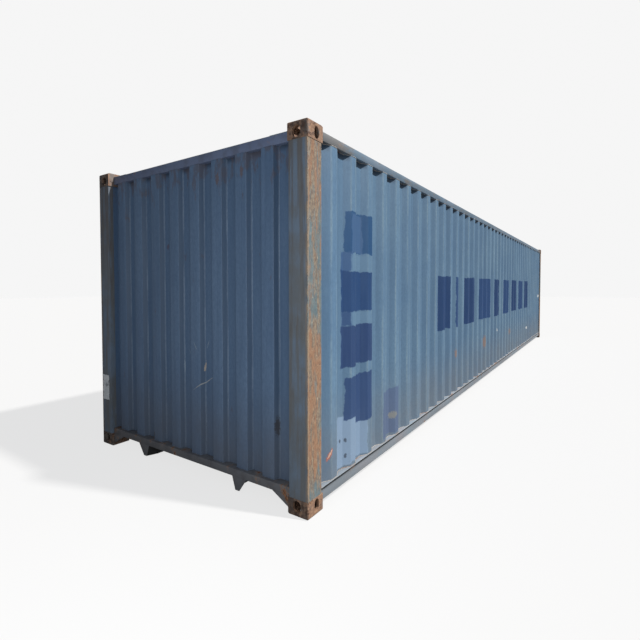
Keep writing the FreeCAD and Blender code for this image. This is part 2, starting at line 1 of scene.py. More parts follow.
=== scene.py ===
# %% [markdown]
# # A forty foot shipping container
# The object is a dry freight container: eight cast corner fittings, four posts and a ring of rails carry
# thin corrugated steel walls. The construction comes from CAD as fixed pieces. This lesson gives them
# their looks: it remakes the thin pressed sheets with real bends and small dents, rounds the edges of the
# heavy parts, runs weld beads along the seams, and gives every surface the finish of a box that has been
# at sea for years.

# %% Load the frame
import math
import random
from statistics import NormalDist

import bmesh
import bpy
from mathutils.bvhtree import BVHTree
from mathutils import Euler, Matrix, Vector


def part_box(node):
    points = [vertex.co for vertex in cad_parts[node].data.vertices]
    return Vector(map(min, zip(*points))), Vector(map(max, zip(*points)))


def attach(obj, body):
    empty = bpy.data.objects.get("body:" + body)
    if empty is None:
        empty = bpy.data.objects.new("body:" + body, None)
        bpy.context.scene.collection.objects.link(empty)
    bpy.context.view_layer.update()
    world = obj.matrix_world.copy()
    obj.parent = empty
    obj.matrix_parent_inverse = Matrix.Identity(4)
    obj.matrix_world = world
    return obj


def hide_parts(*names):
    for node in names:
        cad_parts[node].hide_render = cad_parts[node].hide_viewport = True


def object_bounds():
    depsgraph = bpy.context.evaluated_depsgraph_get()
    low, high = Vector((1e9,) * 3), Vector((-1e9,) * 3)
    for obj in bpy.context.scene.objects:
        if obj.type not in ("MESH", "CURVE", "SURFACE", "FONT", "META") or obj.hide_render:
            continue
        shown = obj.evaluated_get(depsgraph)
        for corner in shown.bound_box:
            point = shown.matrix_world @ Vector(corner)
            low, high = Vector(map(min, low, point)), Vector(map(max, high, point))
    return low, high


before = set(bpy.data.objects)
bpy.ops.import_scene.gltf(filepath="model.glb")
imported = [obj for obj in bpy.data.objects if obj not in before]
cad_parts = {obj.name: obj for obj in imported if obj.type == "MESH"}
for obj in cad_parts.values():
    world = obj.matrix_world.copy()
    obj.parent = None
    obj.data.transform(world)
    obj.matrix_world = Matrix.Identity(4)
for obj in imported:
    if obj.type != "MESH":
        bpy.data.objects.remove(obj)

cad_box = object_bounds()
low, high = cad_box


def placed(name, data):
    """A new object in the scene with this data."""
    thing = bpy.data.objects.new(name, data)
    bpy.context.scene.collection.objects.link(thing)
    return thing


print("CAD box in metres:", [round(v, 3) for v in low], [round(v, 3) for v in high])

# %% [markdown]
# ## The view
# A camera that stands low beside the closed end, at eye height, sees that end and one whole long side. A
# rather wide lens is needed so near to a thing twelve metres long. Its small shift keeps the uprights
# upright: tilting the camera instead would make them lean.

# %% Camera
EYE_HEIGHT = 1.5245
EYE_AHEAD = 2.2236        # metres in front of the closed end
EYE_ASIDE = 1.5395        # metres out from the near side
HEADING = 35.25           # degrees from the length's direction towards the far side
PITCH = -1.80

camera_data = bpy.data.cameras.new("camera")
camera_data.lens = 23.88
camera_data.sensor_width = 36.0
camera_data.shift_x = 0.0256
camera_data.shift_y = -0.0319
camera_data.clip_end = 200.0
camera = placed("camera", camera_data)
camera.location = (low[0] - EYE_AHEAD, low[1] - EYE_ASIDE, EYE_HEIGHT)
camera.rotation_euler = Euler((math.radians(90 + PITCH), math.radians(0.08), math.radians(HEADING - 90)))
bpy.context.scene.camera = camera
print("camera at", [round(v, 3) for v in camera.location])

# %% [markdown]
# ## Colours and nodes
# Paint colours are noted as the hex values of a colour card, which are sRGB. Shaders work in linear
# light, so one function converts them. Both shader and geometry trees are built from the same small
# helper: it adds a node, sets its options, and fills its inputs with values or with what other nodes
# give.


# %% Helpers for colours and nodes
def paint(code):
    """Linear colour of an sRGB hex value such as 5e788e."""
    shares = [int(code[i:i + 2], 16) / 255 for i in (0, 2, 4)]
    linear = [s / 12.92 if s <= 0.04045 else ((s + 0.055) / 1.055) ** 2.4 for s in shares]
    return (*linear, 1.0)


def add(tree, kind, sockets=(), operation=None, **settings):
    """Add a node with its settings. A kind without Node in its name is one of the shader nodes.

    Sockets gives the inputs as values, nodes or outputs, either in order or by name or number."""
    node = tree.nodes.new(kind if "Node" in kind else "ShaderNode" + kind)
    if operation:
        node.operation = operation
    for key, value in settings.items():
        setattr(node, key, value)
    for key, value in sockets.items() if isinstance(sockets, dict) else enumerate(sockets):
        if isinstance(value, bpy.types.Node):
            value = next(output for output in value.outputs if output.enabled)
        if isinstance(value, bpy.types.NodeSocket):
            tree.links.new(value, node.inputs[key])
        else:
            node.inputs[key].default_value = value
    return node


# %% [markdown]
# ## Light and floor
# Daylight on one long side leaves the closed end in open shade. A sun lamp with a wide disc gives the
# first, and a plain pale surround the second. A large soft lamp beside the near corner fades the end wall
# from that corner to the far one. The floor is plain and pale, with only a faint shadow on it.

# %% Daylight
SUN_ELEVATION = 50.0
SUN_TURN = 20.0           # degrees from square on to the long side, towards the door end
SUN_STRENGTH = 5.7
SKY_STRENGTH = 0.168
PALE_LEVEL = 0.92        # how bright the floor and surround look

sun_data = bpy.data.lights.new("sun", "SUN")
sun_data.energy = SUN_STRENGTH
sun_data.angle = math.radians(3.0)
sun_data.color = (1.0, 0.975, 0.94)
sun = placed("sun", sun_data)
sun.rotation_euler = Euler((math.radians(90 - SUN_ELEVATION), 0.0, math.radians(SUN_TURN)))

corner_data = bpy.data.lights.new("corner_light", "AREA")
corner_data.shape = "RECTANGLE"
corner_data.size = 2.0
corner_data.size_y = 2.4
corner_data.energy = 25.0
corner_data.color = (0.9, 0.96, 1.0)
corner_light = placed("corner_light", corner_data)
corner_light.location = (low[0] - 1.9, low[1] - 0.5, 1.5)
aim = Vector((low[0], low[1] + 0.9, 1.3)) - corner_light.location
corner_light.rotation_euler = aim.to_track_quat("-Z", "Y").to_euler()
corner_light.visible_camera = False

world = bpy.data.worlds.new("pale_surround")
bpy.context.scene.world = world
world.use_nodes = True
sky = world.node_tree
seen = add(sky, "LightPath").outputs["Is Camera Ray"]
strength = add(sky, "Mix", {0: seen, 2: SKY_STRENGTH, 3: PALE_LEVEL}, data_type="FLOAT")
tint = add(sky, "Mix", {0: seen, 6: (0.90, 0.98, 1.14, 1.0), 7: (1.0, 1.0, 1.0, 1.0)}, data_type="RGBA")
background = sky.nodes["Background"]
sky.links.new(tint.outputs[2], background.inputs["Color"])
sky.links.new(strength.outputs[0], background.inputs["Strength"])
bpy.context.scene.view_settings.view_transform = "Standard"
print("sun", SUN_STRENGTH, "surround", SKY_STRENGTH)

# %% Floor
FLOOR_REACH = 60.0

floor_mesh = bpy.data.meshes.new("floor")
corners = [(-FLOOR_REACH, -FLOOR_REACH), (FLOOR_REACH, -FLOOR_REACH), (FLOOR_REACH, FLOOR_REACH),
           (-FLOOR_REACH, FLOOR_REACH)]
floor_mesh.from_pydata([(x, y, 0.0) for x, y in corners], [], [(0, 1, 2, 3)])
floor = placed("studio_floor", floor_mesh)
floor_finish = bpy.data.materials.new("pale_floor")
floor_finish.use_nodes = True
tree = floor_finish.node_tree
tree.nodes.clear()
seen = add(tree, "LightPath").outputs["Is Camera Ray"]
glow = add(tree, "Mix", {0: seen, 2: 0.07, 3: PALE_LEVEL - 0.18}, data_type="FLOAT")
shine = add(tree, "Emission", {"Color": (1.0, 1.0, 1.0, 1.0), "Strength": glow})
matt = add(tree, "BsdfDiffuse", {"Color": (0.13, 0.13, 0.13, 1.0)})
both = add(tree, "AddShader", (shine, matt))
add(tree, "OutputMaterial", {"Surface": both})
floor_mesh.materials.append(floor_finish)

# %% [markdown]
# ## Finishing steps that many surfaces share
# Every steel surface here was shot blasted, sprayed with zinc primer and chlorinated rubber paint, and
# has been outdoors since. Three things happen to it everywhere: the paint chalks unevenly, rain draws
# vertical streaks, and rust breaks through as dark scale with an orange stain round it. Each is a short
# function that lays one more layer over a colour. Patterns read object coordinates, so their sizes are
# real metres.

# %% Shared finishing steps
NOISE_SPREAD = 0.105      # how far Perlin noise usually strays from its middle value of a half
ORANGE_RUST = "9a6c4c"
DARK_RUST = "563d2f"
RUST_STAIN = "927866"


def new_finish(name):
    """A new material and its object coordinates."""
    material = bpy.data.materials.new(name)
    material.use_nodes = True
    return material, add(material.node_tree, "TexCoord").outputs["Object"]


def blotches(place, size, cover, edge, stretch=(1, 1, 1), guide=None):
    """Irregular blotches about size metres across over a share of the surface: 1 inside, 0 outside."""
    tree = place.id_data
    spread = add(tree, "Mapping", {"Vector": place, "Scale": stretch})
    noise = add(tree, "TexNoise", {"Vector": spread, "Scale": 1 / size, "Detail": 7.0, "Roughness": 0.62})
    if guide is not None:
        noise = add(tree, "Math", (noise, guide), "ADD")
    middle = NormalDist(0.5, NOISE_SPREAD).inv_cdf(1 - cover)
    return add(tree, "MapRange", (noise, middle - edge, middle + edge), interpolation_type="SMOOTHSTEP")


def layer(below, share, above, strength=1.0):
    """Lay a colour, or its hex value, over another where share is 1, at most as strongly as strength."""
    tree = share.id_data
    weak = add(tree, "Math", (share, strength), "MULTIPLY")
    below, above = [paint(c) if isinstance(c, str) else c for c in (below, above)]
    return add(tree, "Mix", {0: weak, 6: below, 7: above}, data_type="RGBA").outputs[2]


def rust_over(place, below, size, cover, stretch=(1, 1, 1), guide=None):
    """Rust over a colour: orange stain round cores of dark scale. Gives the colour and the cores' share."""
    stain = blotches(place, size, min(0.95, cover * 1.7), 0.05, stretch, guide)
    core = blotches(place, size, cover, 0.02, stretch, guide)
    grain = blotches(place, 0.012, 0.5, 0.16)
    rust = layer(DARK_RUST, grain, ORANGE_RUST)
    stained = layer(below, stain, RUST_STAIN, 0.55)
    return layer(stained, core, rust), core


def finished(material, place, colour, smooth, rough, share, scale, pitted=None, dents=0.0):
    """Join a colour, a roughness and surface relief to the shader of a material, and give the material.

    The roughness lies between two values, by a share. The relief is orange peel in the paint, pits where
    a share says so and, on thin sheets, shallow dents."""
    tree = material.node_tree
    shader = tree.nodes["Principled BSDF"]
    tree.links.new(colour, shader.inputs["Base Color"])
    value = add(tree, "Mix", {0: share, 2: smooth, 3: rough}, data_type="FLOAT")
    tree.links.new(value.outputs[0], shader.inputs["Roughness"])
    peel = add(tree, "TexNoise", {"Vector": place, "Scale": 1 / scale, "Detail": 4.0})
    last = add(tree, "Bump", {"Height": peel, "Strength": 0.25, "Distance": 0.0012})
    if pitted is not None:
        pits = add(tree, "TexNoise", {"Vector": place, "Scale": 160.0, "Detail": 5.0})
        eaten = add(tree, "Math", (pits, pitted), "MULTIPLY")
        last = add(tree, "Bump", {"Height": eaten, "Strength": 0.6, "Distance": 0.003, "Normal": last})
    if dents:
        swell = add(tree, "TexNoise", {"Vector": place, "Scale": 3.0, "Detail": 2.0})
        last = add(tree, "Bump", {"Height": swell, "Strength": 1.0, "Distance": dents, "Normal": last})
    tree.links.new(last.outputs["Normal"], shader.inputs["Normal"])
    return material


print("shared steps ready")

# %% [markdown]
# ## Faded blue wall paint
# Pressed mild steel sheet, sprayed with blue chlorinated rubber enamel. Years of sun have chalked it, so
# it looks milky and nearly matt. The bends of the ribs rub against other boxes and against lashings,
# which leaves a thin pale line down each of them. Splashed dirt greys the lowest part, and rain streaks
# it. The hollows are darkened, part by dirt and part as painted shade, and a dark band in them just
# under the top rail is a painted shadow of the rail.
#
# The ribs repeat at a fixed pitch, so a triangle wave along the wall tells how far a point is from the
# middle of its rib. One function makes the paint for a wall, told by its pitch, first rib and the way it
# runs.

# %% Wall paint
WALL_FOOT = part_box("side_wall_right")[0].z
WALL_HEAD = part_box("side_wall_right")[1].z
FLANK_SHADE = "344253"
RAIL_SHADOW = "242d3b"


def wall_paint(tree, place, along, first, pitch, crest, tones, flank=0.0):
    """Chalked paint of a ribbed wall; along is 0 for x and 1 for y. Gives the colour and the dirt's share.

    Without a flank both bends of the crest are rubbed. With one, the line runs along the foot of that
    flank, on the rib's lower side, and the flank itself gets painted shade."""
    fresh, chalky, streak, worn, dirt_tone = tones
    axes = add(tree, "SeparateXYZ", (place,))
    slow = blotches(place, 1.1, 0.5, 0.16)
    colour = layer(fresh, slow, chalky)
    drawn = (9.0, 9.0, 0.35)
    rain = blotches(place, 1.0, 0.42, 0.13, drawn)
    colour = layer(colour, rain, streak, 0.45)
    fine = blotches(place, 0.35, 0.35, 0.1, (16.0, 16.0, 0.5))
    colour = layer(colour, fine, chalky, 0.35)

    offset = add(tree, "Math", (axes.outputs[along], first), "SUBTRACT")
    away = add(tree, "Math", (offset, pitch / 2), "PINGPONG")
    line = crest / 2 + flank
    from_bend = add(tree, "Math", (away, line, 0.004 if flank else 0.010), "COMPARE")
    if flank:
        whole = add(tree, "Math", (offset, pitch), "FLOORED_MODULO")
        one_side = add(tree, "Math", (whole, pitch / 2), "GREATER_THAN")
        from_bend = add(tree, "Math", (from_bend, one_side), "MULTIPLY")
        # Painted shade: the flank on the rib's lower side is darkened.
        on_flank = add(tree, "Math", (away, line - flank / 2, flank / 2), "COMPARE")
        shaded = add(tree, "Math", (on_flank, one_side), "MULTIPLY")
        colour = layer(colour, shaded, FLANK_SHADE, 0.45)
    # The hollows between the ribs are darkened, part by dirt and part as painted shade.
    trough_dirt_and_shade = add(tree, "MapRange", (away, crest / 2 + 0.005, crest / 2 + 0.025))
    colour = layer(colour, trough_dirt_and_shade, streak, 0.35)
    broken = blotches(place, 0.5, 0.62, 0.14, (6.0, 6.0, 1.0))
    rubbed = add(tree, "Math", (from_bend, broken), "MULTIPLY")
    colour = layer(colour, rubbed, worn, 0.7 if flank else 0.3)

    grain = blotches(place, 0.016, 0.45, 0.16, (1.0, 1.0, 0.6))
    colour = layer(colour, grain, streak, 0.4)
    # Painted shadow of the top rail: a dark band in the hollows just under it.
    under_rail_band = add(tree, "MapRange", (axes.outputs[2], WALL_HEAD - 0.05, WALL_HEAD - 0.015))
    rail_shadow = add(tree, "Math", (under_rail_band, trough_dirt_and_shade), "MULTIPLY")
    colour = layer(colour, rail_shadow, RAIL_SHADOW, 0.65)
    height = add(tree, "MapRange", (axes.outputs[2], WALL_FOOT + 0.75, WALL_FOOT),
                 interpolation_type="SMOOTHSTEP")
    splash = blotches(place, 0.25, 0.55, 0.16, (1.0, 1.0, 0.6))
    uneven = add(tree, "Math", (splash, 0.4, 0.6), "MULTIPLY_ADD")
    dirt = add(tree, "Math", (height, uneven), "MULTIPLY")
    colour = layer(colour, dirt, dirt_tone, 0.6)
    return colour, dirt


def brushed_patch(tree, place, x0, x1, z0, z1, seed, ragged=0.012):
    """Share of a patch brushed on by hand between two lengths and two heights, with ragged edges."""
    shifted = add(tree, "VectorMath", (place, (seed * 3.7, 0.0, seed * 1.9)), "ADD")
    wobble = add(tree, "TexNoise", {"Vector": shifted, "Scale": 9.0, "Detail": 6.0, "Roughness": 0.7})
    sway = add(tree, "Math", (wobble, 0.5), "SUBTRACT")
    centre = ((x0 + x1) / 2, 0.0, (z0 + z1) / 2)
    offset = add(tree, "VectorMath", (place, centre), "SUBTRACT")
    distance = add(tree, "VectorMath", (offset,), "ABSOLUTE")
    beyond = add(tree, "VectorMath", (distance, ((x1 - x0) / 2, 0.0, (z1 - z0) / 2)), "SUBTRACT")
    axes = add(tree, "SeparateXYZ", (beyond,))
    outside = add(tree, "Math", (axes.outputs[0], axes.outputs[2]), "MAXIMUM")
    edge = add(tree, "Math", (sway, ragged * 6, outside), "MULTIPLY_ADD")
    return add(tree, "MapRange", (edge, 0.004, -0.004))


def spot(tree, place, centre, reach, turn=0.0, axis="X_AXIS", uneven=0.6):
    """Share of an uneven oval mark, from its centre, its reach along each axis and its turn in degrees."""
    offset = add(tree, "VectorMath", (place, centre), "SUBTRACT")
    turned = add(tree, "VectorRotate", {"Vector": offset, "Angle": math.radians(turn)}, rotation_type=axis)
    scaled = add(tree, "VectorMath", (turned, reach), "DIVIDE")
    length = add(tree, "VectorMath", (scaled,), "LENGTH")
    noise = add(tree, "TexNoise", {"Vector": place, "Scale": 70.0, "Detail": 4.0, "Roughness": 0.7})
    sway = add(tree, "Math", (noise, 0.5), "SUBTRACT")
    edge = add(tree, "Math", (sway, uneven * 4, length.outputs["Value"]), "MULTIPLY_ADD")
    return add(tree, "MapRange", (edge, 1.15, 0.75))


# %% [markdown]
# ## Overpainted lettering
# When a box is sold, its old markings are painted out by hand with whatever blue is at hand. That leaves
# a column of dark brushed rectangles near the corner and a row of them along the side. Each is a
# rectangle with a ragged edge, and where the brush ran dry the old colour shows through a little.
# Scrapes, rust smears and white chips on the same wall are a list of uneven ovals.

# %% Near side wall paint
SIDE_PITCH = 0.2805
SIDE_CREST = 0.072
SIDE_SLOPE = 0.068
SIDE_DEPTH = 0.036
SHEET_BEND = 0.012
POST_SETBACK = 0.003      # how far the posts stand back from the castings
POST_DEPTH = 0.163
WALL_END = high[0] - POST_SETBACK - POST_DEPTH


def even_ribs(run):
    """Values of the rib line for a run of the side wall's ribs, spread evenly round its middle."""
    rib = SIDE_CREST + 2 * SIDE_SLOPE
    ribs = round((run - (SIDE_PITCH - rib)) / SIDE_PITCH)
    trough = (run - ribs * rib) / (ribs + 1)
    return {"Ribs": ribs, "First": -run / 2 + trough + rib / 2, "Pitch": rib + trough, "Crest": SIDE_CREST,
            "Slope": SIDE_SLOPE, "Depth": SIDE_DEPTH, "Start": -run / 2, "End": run / 2,
            "Lap": SIDE_DEPTH - 0.001, "Bend": SHEET_BEND}


side_ribs = even_ribs(2 * WALL_END)
print("side wall:", side_ribs["Ribs"], "ribs every", round(side_ribs["Pitch"], 4), "m")

SIDE_TONES = ("547391", "64829b", "47637d", "8f9f9f", "686c70")

# lengths from the closed end and heights of the column's patches, in metres
COLUMN = (("17446e", 0.535, 0.965, 1.776, 2.084, 0.97),
          ("2f4f78", 0.495, 0.610, 1.640, 1.776, 0.9),
          ("183b67", 0.495, 0.960, 1.330, 1.636, 1.0),
          ("27446e", 0.495, 0.610, 1.224, 1.330, 0.9),
          ("203a64", 0.495, 0.965, 0.914, 1.224, 1.0),
          ("264069", 0.535, 0.730, 0.520, 0.835, 1.0),
          ("264069", 0.700, 0.957, 0.445, 0.835, 1.0))
WASHED = ("476489", 0.600, 0.816, 1.780, 2.075, 0.55)
PALE = ("7c93ad", 0.396, 0.868, 0.176, 0.550, 0.8)
MAUVE = ("495a7c", 1.170, 1.506, 0.180, 0.596, 0.75)
GAPS = (("587690", 0.590, 0.940, 1.640, 1.765, 0.7),
        ("5a7892", 0.590, 0.928, 1.228, 1.322, 0.7))
ROW = ((2.690, 3.125), (3.385, 3.480), (3.845, 4.400), (4.730, 5.400), (5.691, 6.170),
       (6.500, 7.060), (7.370, 8.060), (8.246, 8.844), (9.160, 9.620))
ROW_TOP = 1.640
ROW_FOOT = 1.000
ROW_TONES = ("113562", "1b3e6c")

# marks on the patched wall: colour, length from the closed end, height, reach along and up, turn, strength
SIDE_MARKS = (("a05a4a", 0.294, 0.337, 0.013, 0.050, -30, 0.9),
              ("c9aa96", 0.296, 0.343, 0.006, 0.034, -30, 0.8),
              ("22303f", 0.976, 1.904, 0.014, 0.014, 0, 0.9),
              ("8a8776", 1.407, 0.344, 0.060, 0.034, 0, 0.55),
              ("d0d3d1", 6.030, 0.741, 0.090, 0.034, 0, 0.9),
              ("d0d3d1", 9.578, 0.490, 0.045, 0.028, 0, 0.9),
              ("d0d3d1", 11.707, 1.235, 0.160, 0.040, 0, 0.9),
              ("8a6f5e", 5.051, 0.620, 0.040, 0.095, 0, 0.7),
              ("8a6f5e", 7.212, 0.600, 0.110, 0.080, 0, 0.7),
              ("8a6f5e", 3.396, 0.650, 0.028, 0.060, 0, 0.7),
              ("3c4858", 0.481, 0.371, 0.014, 0.014, 0, 0.9),
              ("3c4858", 0.543, 0.364, 0.012, 0.018, 0, 0.9),
              ("3c4858", 0.543, 0.247, 0.012, 0.018, 0, 0.9),
              ("3c4858", 0.430, 0.378, 0.012, 0.012, 0, 0.8))


def side_finish(name, patched):
    """Paint of a side wall, with or without the overpainted markings."""
    material, place = new_finish(name)
    tree = material.node_tree
    colour, dirt = wall_paint(tree, place, 0, side_ribs["First"], side_ribs["Pitch"], SIDE_CREST,
                              SIDE_TONES)
    thick = blotches(place, 0.3, 0.6, 0.2, (8.0, 1.0, 0.6))
    cover = add(tree, "Math", (thick, 0.08, 0.92), "MULTIPLY_ADD")
    spots = ()
    if patched:
        rows = tuple((ROW_TONES[i % 2], x0, x1, ROW_FOOT - 0.004 * (i % 3), ROW_TOP, 1.0)
                     for i, (x0, x1) in enumerate(ROW))
        spots = (PALE,) + COLUMN + GAPS + (WASHED, MAUVE) + rows
    for seed, (code, x0, x1, z0, z1, strength) in enumerate(spots):
        share = brushed_patch(tree, place, low[0] + x0, low[0] + x1, z0, z1, seed)
        share = add(tree, "Math", (share, cover), "MULTIPLY")
        colour = layer(colour, share, code, strength)
    for code, x, z, along, up, turn, strength in SIDE_MARKS if patched else ():
        share = spot(tree, place, (low[0] + x, low[1], z), (along, 1.0, up), turn, "Y_AXIS")
        colour = layer(colour, share, code, strength)
    axes = add(tree, "SeparateXYZ", (place,))
    low_down = add(tree, "MapRange", (axes.outputs[2], 1.3, WALL_FOOT, -0.05, 0.035))
    colour, rust = rust_over(place, colour, 0.11, 0.006, guide=low_down)
    chips = blotches(place, 0.028, 0.0025, 0.01)
    colour = layer(colour, chips, "b9bdbc", 0.8)
    return finished(material, place, colour, 0.52, 0.8, dirt, 0.004, rust, dents=0.004)


patched_paint = side_finish("chalked_blue_enamel_overpainted", True)
side_paint = side_finish("chalked_blue_enamel", False)
print("side paints:", len(patched_paint.node_tree.nodes), "and", len(side_paint.node_tree.nodes), "nodes")

# %% [markdown]
# ## Rib line and pressed sheet
# The walls are sheet steel pressed into a trapezoid wave. Modelling one by hand would mean placing
# hundreds of bends; the wave follows a rule, so Geometry Nodes draw it. The first tree makes the wave as
# a curve: each point's number says which rib it is on and which of its four bends it is. Fillet Curve
# then rounds the bends as the press does. It is a group of its own, because both the sheets and the weld
# beads along them follow the same line.


# %% Rib line tree
def new_tree(name, inputs):
    """A Geometry Nodes tree with named inputs and a mesh output; gives the tree and its input node."""
    tree = bpy.data.node_groups.new(name, "GeometryNodeTree")
    for label, kind in inputs:
        tree.interface.new_socket(label, in_out="INPUT", socket_type="NodeSocket" + kind)
    tree.interface.new_socket("Result", in_out="OUTPUT", socket_type="NodeSocketGeometry")
    return tree, add(tree, "NodeGroupInput")


def ended(tree, shape, finish):
    """End a tree with real geometry in its finish."""
    real = add(tree, "GeometryNodeRealizeInstances", {"Geometry": shape})
    dressed = add(tree, "GeometryNodeSetMaterial", {"Geometry": real, "Material": finish})
    add(tree, "NodeGroupOutput", {"Result": dressed})
    return tree


RIB_SIZES = ("First", "Pitch", "Crest", "Slope", "Depth", "Start", "End", "Lap", "Bend")
RIB_INPUTS = [("Ribs", "Int")] + [(label, "Float") for label in RIB_SIZES]


def rib_line_tree():
    """Curve of a ribbed sheet from above: crests at y = 0, troughs at y = Depth, edges folded to Lap."""
    tree, given = new_tree("rib_line", RIB_INPUTS)
    size = given.outputs
    count = add(tree, "Math", (size["Ribs"], 4.0, 4.0), "MULTIPLY_ADD")
    number = add(tree, "GeometryNodeInputIndex")
    inner = add(tree, "Math", (number, 2.0), "SUBTRACT")
    quarter = add(tree, "Math", (inner, 4.0), "DIVIDE")
    rib = add(tree, "Math", (quarter,), "FLOOR")
    corner = add(tree, "Math", (inner, 4.0), "FLOORED_MODULO")
    middle = add(tree, "Math", (corner, 1.5), "SUBTRACT")
    side = add(tree, "Math", (middle,), "SIGN")
    away = add(tree, "Math", (middle,), "ABSOLUTE")
    foot = add(tree, "Math", (away, 1.0), "GREATER_THAN")
    half = add(tree, "Math", (size["Crest"], 0.5), "MULTIPLY")
    reach = add(tree, "Math", (foot, size["Slope"], half), "MULTIPLY_ADD")
    centre = add(tree, "Math", (rib, size["Pitch"], size["First"]), "MULTIPLY_ADD")
    x = add(tree, "Math", (side, reach, centre), "MULTIPLY_ADD")
    y = add(tree, "Math", (foot, size["Depth"]), "MULTIPLY")
    last = add(tree, "Math", (count, 1.0), "SUBTRACT")
    for at_start in (True, False):
        from_end = add(tree, "Math", (last, number), "SUBTRACT")
        steps = number if at_start else from_end
        edge = add(tree, "Math", (steps, 1.5), "LESS_THAN")
        tip = add(tree, "Math", (steps, 0.5), "LESS_THAN")
        place = size["Start"] if at_start else size["End"]
        x = add(tree, "Mix", {0: edge, 2: x, 3: place}, data_type="FLOAT")
        y = add(tree, "Mix", {0: edge, 2: y, 3: size["Depth"]}, data_type="FLOAT")
        y = add(tree, "Mix", {0: tip, 2: y, 3: size["Lap"]}, data_type="FLOAT")
    line = add(tree, "GeometryNodeMeshLine", {"Count": count, "Offset": (0.0, 0.0, 0.0)})
    spot = add(tree, "CombineXYZ", (x, y))
    bent = add(tree, "GeometryNodeSetPosition", {"Geometry": line, "Position": spot})
    curve = add(tree, "GeometryNodeMeshToCurve", {"Mesh": bent})
    soft = add(tree, "GeometryNodeFilletCurve", {"Curve": curve, "Radius": size["Bend"],
                                                 "Limit Radius": True, "Count": 3}, mode="POLY")
    add(tree, "NodeGroupOutput", {"Result": soft})
    return tree


rib_line = rib_line_tree()
print("rib line tree:", len(rib_line.nodes), "nodes")

# %% [markdown]
# The sheet itself is a grid. Every column of the grid takes its place from one point of the rib line, and
# the rows share out the height. That keeps the faces in clean strips, with enough rows for shallow dents,
# which fade out at the welded head and foot.


# %% Pressed sheet tree
def pressed_sheet_tree():
    """Upright corrugated sheet without thickness, facing towards -y."""
    extra = [("Bottom", "Float"), ("Top", "Float"), ("Rows", "Int"), ("Dent", "Float"),
             ("Finish", "Material")]
    tree, given = new_tree("pressed_sheet", RIB_INPUTS + extra)
    size = given.outputs
    line = add(tree, "GeometryNodeGroup", {label: size[label] for label, _ in RIB_INPUTS},
               node_tree=rib_line)
    points = add(tree, "GeometryNodeAttributeDomainSize", {"Geometry": line}, component="CURVE")
    grid = add(tree, "GeometryNodeMeshGrid", {"Size X": 1.0, "Size Y": 1.0,
                                              "Vertices X": points.outputs["Point Count"],
                                              "Vertices Y": size["Rows"]})
    spot = add(tree, "GeometryNodeInputPosition")
    share = add(tree, "SeparateXYZ", (spot,))
    across = add(tree, "Math", (share.outputs[0], 0.5), "ADD")
    last = add(tree, "Math", (points.outputs["Point Count"], 1.0), "SUBTRACT")
    exact = add(tree, "Math", (across, last), "MULTIPLY")
    column = add(tree, "Math", (exact,), "ROUND")
    taken = add(tree, "GeometryNodeSampleIndex", {0: line, "Index": column}, data_type="FLOAT_VECTOR")
    tree.links.new(add(tree, "GeometryNodeInputPosition").outputs[0], taken.inputs["Value"])
    up = add(tree, "Math", (share.outputs[1], 0.5), "ADD")
    rise = add(tree, "MapRange", (up, 0.0, 1.0, size["Bottom"], size["Top"]))
    lifted = add(tree, "CombineXYZ", {2: rise})
    spread = add(tree, "VectorMath", (taken, lifted), "ADD")
    waves = add(tree, "TexNoise", {"Vector": spread, "Scale": 2.4, "Detail": 1.0})
    swing = add(tree, "Math", (waves, 0.5), "SUBTRACT")
    rest = add(tree, "Math", (1.0, up), "SUBTRACT")
    belly = add(tree, "Math", (up, rest), "MULTIPLY")
    fade = add(tree, "Math", (belly, 10.0), "MULTIPLY", use_clamp=True)
    inward = add(tree, "Math", (swing, fade), "MULTIPLY")
    depth = add(tree, "Math", (inward, size["Dent"]), "MULTIPLY")
    kept = add(tree, "Math", (depth, 0.0), "MAXIMUM")
    push = add(tree, "CombineXYZ", {1: kept})
    final = add(tree, "VectorMath", (spread, push), "ADD")
    shaped = add(tree, "GeometryNodeSetPosition", {"Geometry": grid, "Position": final})
    return ended(tree, shaped, size["Finish"])


pressed_sheet = pressed_sheet_tree()


def grown(name, tree, values, turn=Matrix(), thickness=0.0, start=None):
    """Run a tree, keep its result as a plain mesh at its place, and drop the modifier."""
    host = placed(name + "_host", start or bpy.data.meshes.new(name + "_host"))
    modifier = host.modifiers.new("shape", "NODES")
    modifier.node_group = tree
    for item in tree.interface.items_tree:
        if item.in_out == "INPUT" and item.name in values:
            modifier[item.identifier] = values[item.name]
    if thickness:
        wall = host.modifiers.new("thickness", "SOLIDIFY")
        wall.thickness = thickness
        wall.offset = -1.0
    ready = host.evaluated_get(bpy.context.evaluated_depsgraph_get())
    mesh = bpy.data.meshes.new_from_object(ready)
    mesh.name = name
    mesh.transform(turn)
    mesh.shade_smooth()
    mesh.set_sharp_from_angle(angle=math.radians(35))
    bpy.data.objects.remove(host)
    mesh.calc_loop_triangles()
    print(name, len(mesh.loop_triangles), "triangles")
    return placed(name, mesh)


def settle(piece, slot, *nodes):
    """Hang a piece on the root body and hide the CAD nodes it stands for. The slot is not used."""
    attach(piece, "root")
    if nodes:
        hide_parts(*nodes)
    return piece


# %% [markdown]
# ## Side walls
# Both side walls come from the same tree with the same sizes. The left one is the right one turned half
# way round. The sheet is 1.8 mm thick, which a Solidify modifier adds before the mesh is kept.

# %% Side walls
SIDE_SHEET = 0.0018
wall_low, wall_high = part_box("side_wall_right")
side_values = {**side_ribs, "Bottom": wall_low.z, "Top": wall_high.z, "Rows": 26, "Dent": 0.014}
to_right = Matrix.Translation((0.0, wall_low.y, 0.0))
to_left = Matrix.Rotation(math.pi, 4, "Z") @ to_right
for side, turn, finish in (("right", to_right, patched_paint), ("left", to_left, side_paint)):
    wall = grown("side_wall_sheet_" + side, pressed_sheet, {**side_values, "Finish": finish}, turn,
                 SIDE_SHEET)
    settle(wall, "side_panel", "side_wall_" + side)

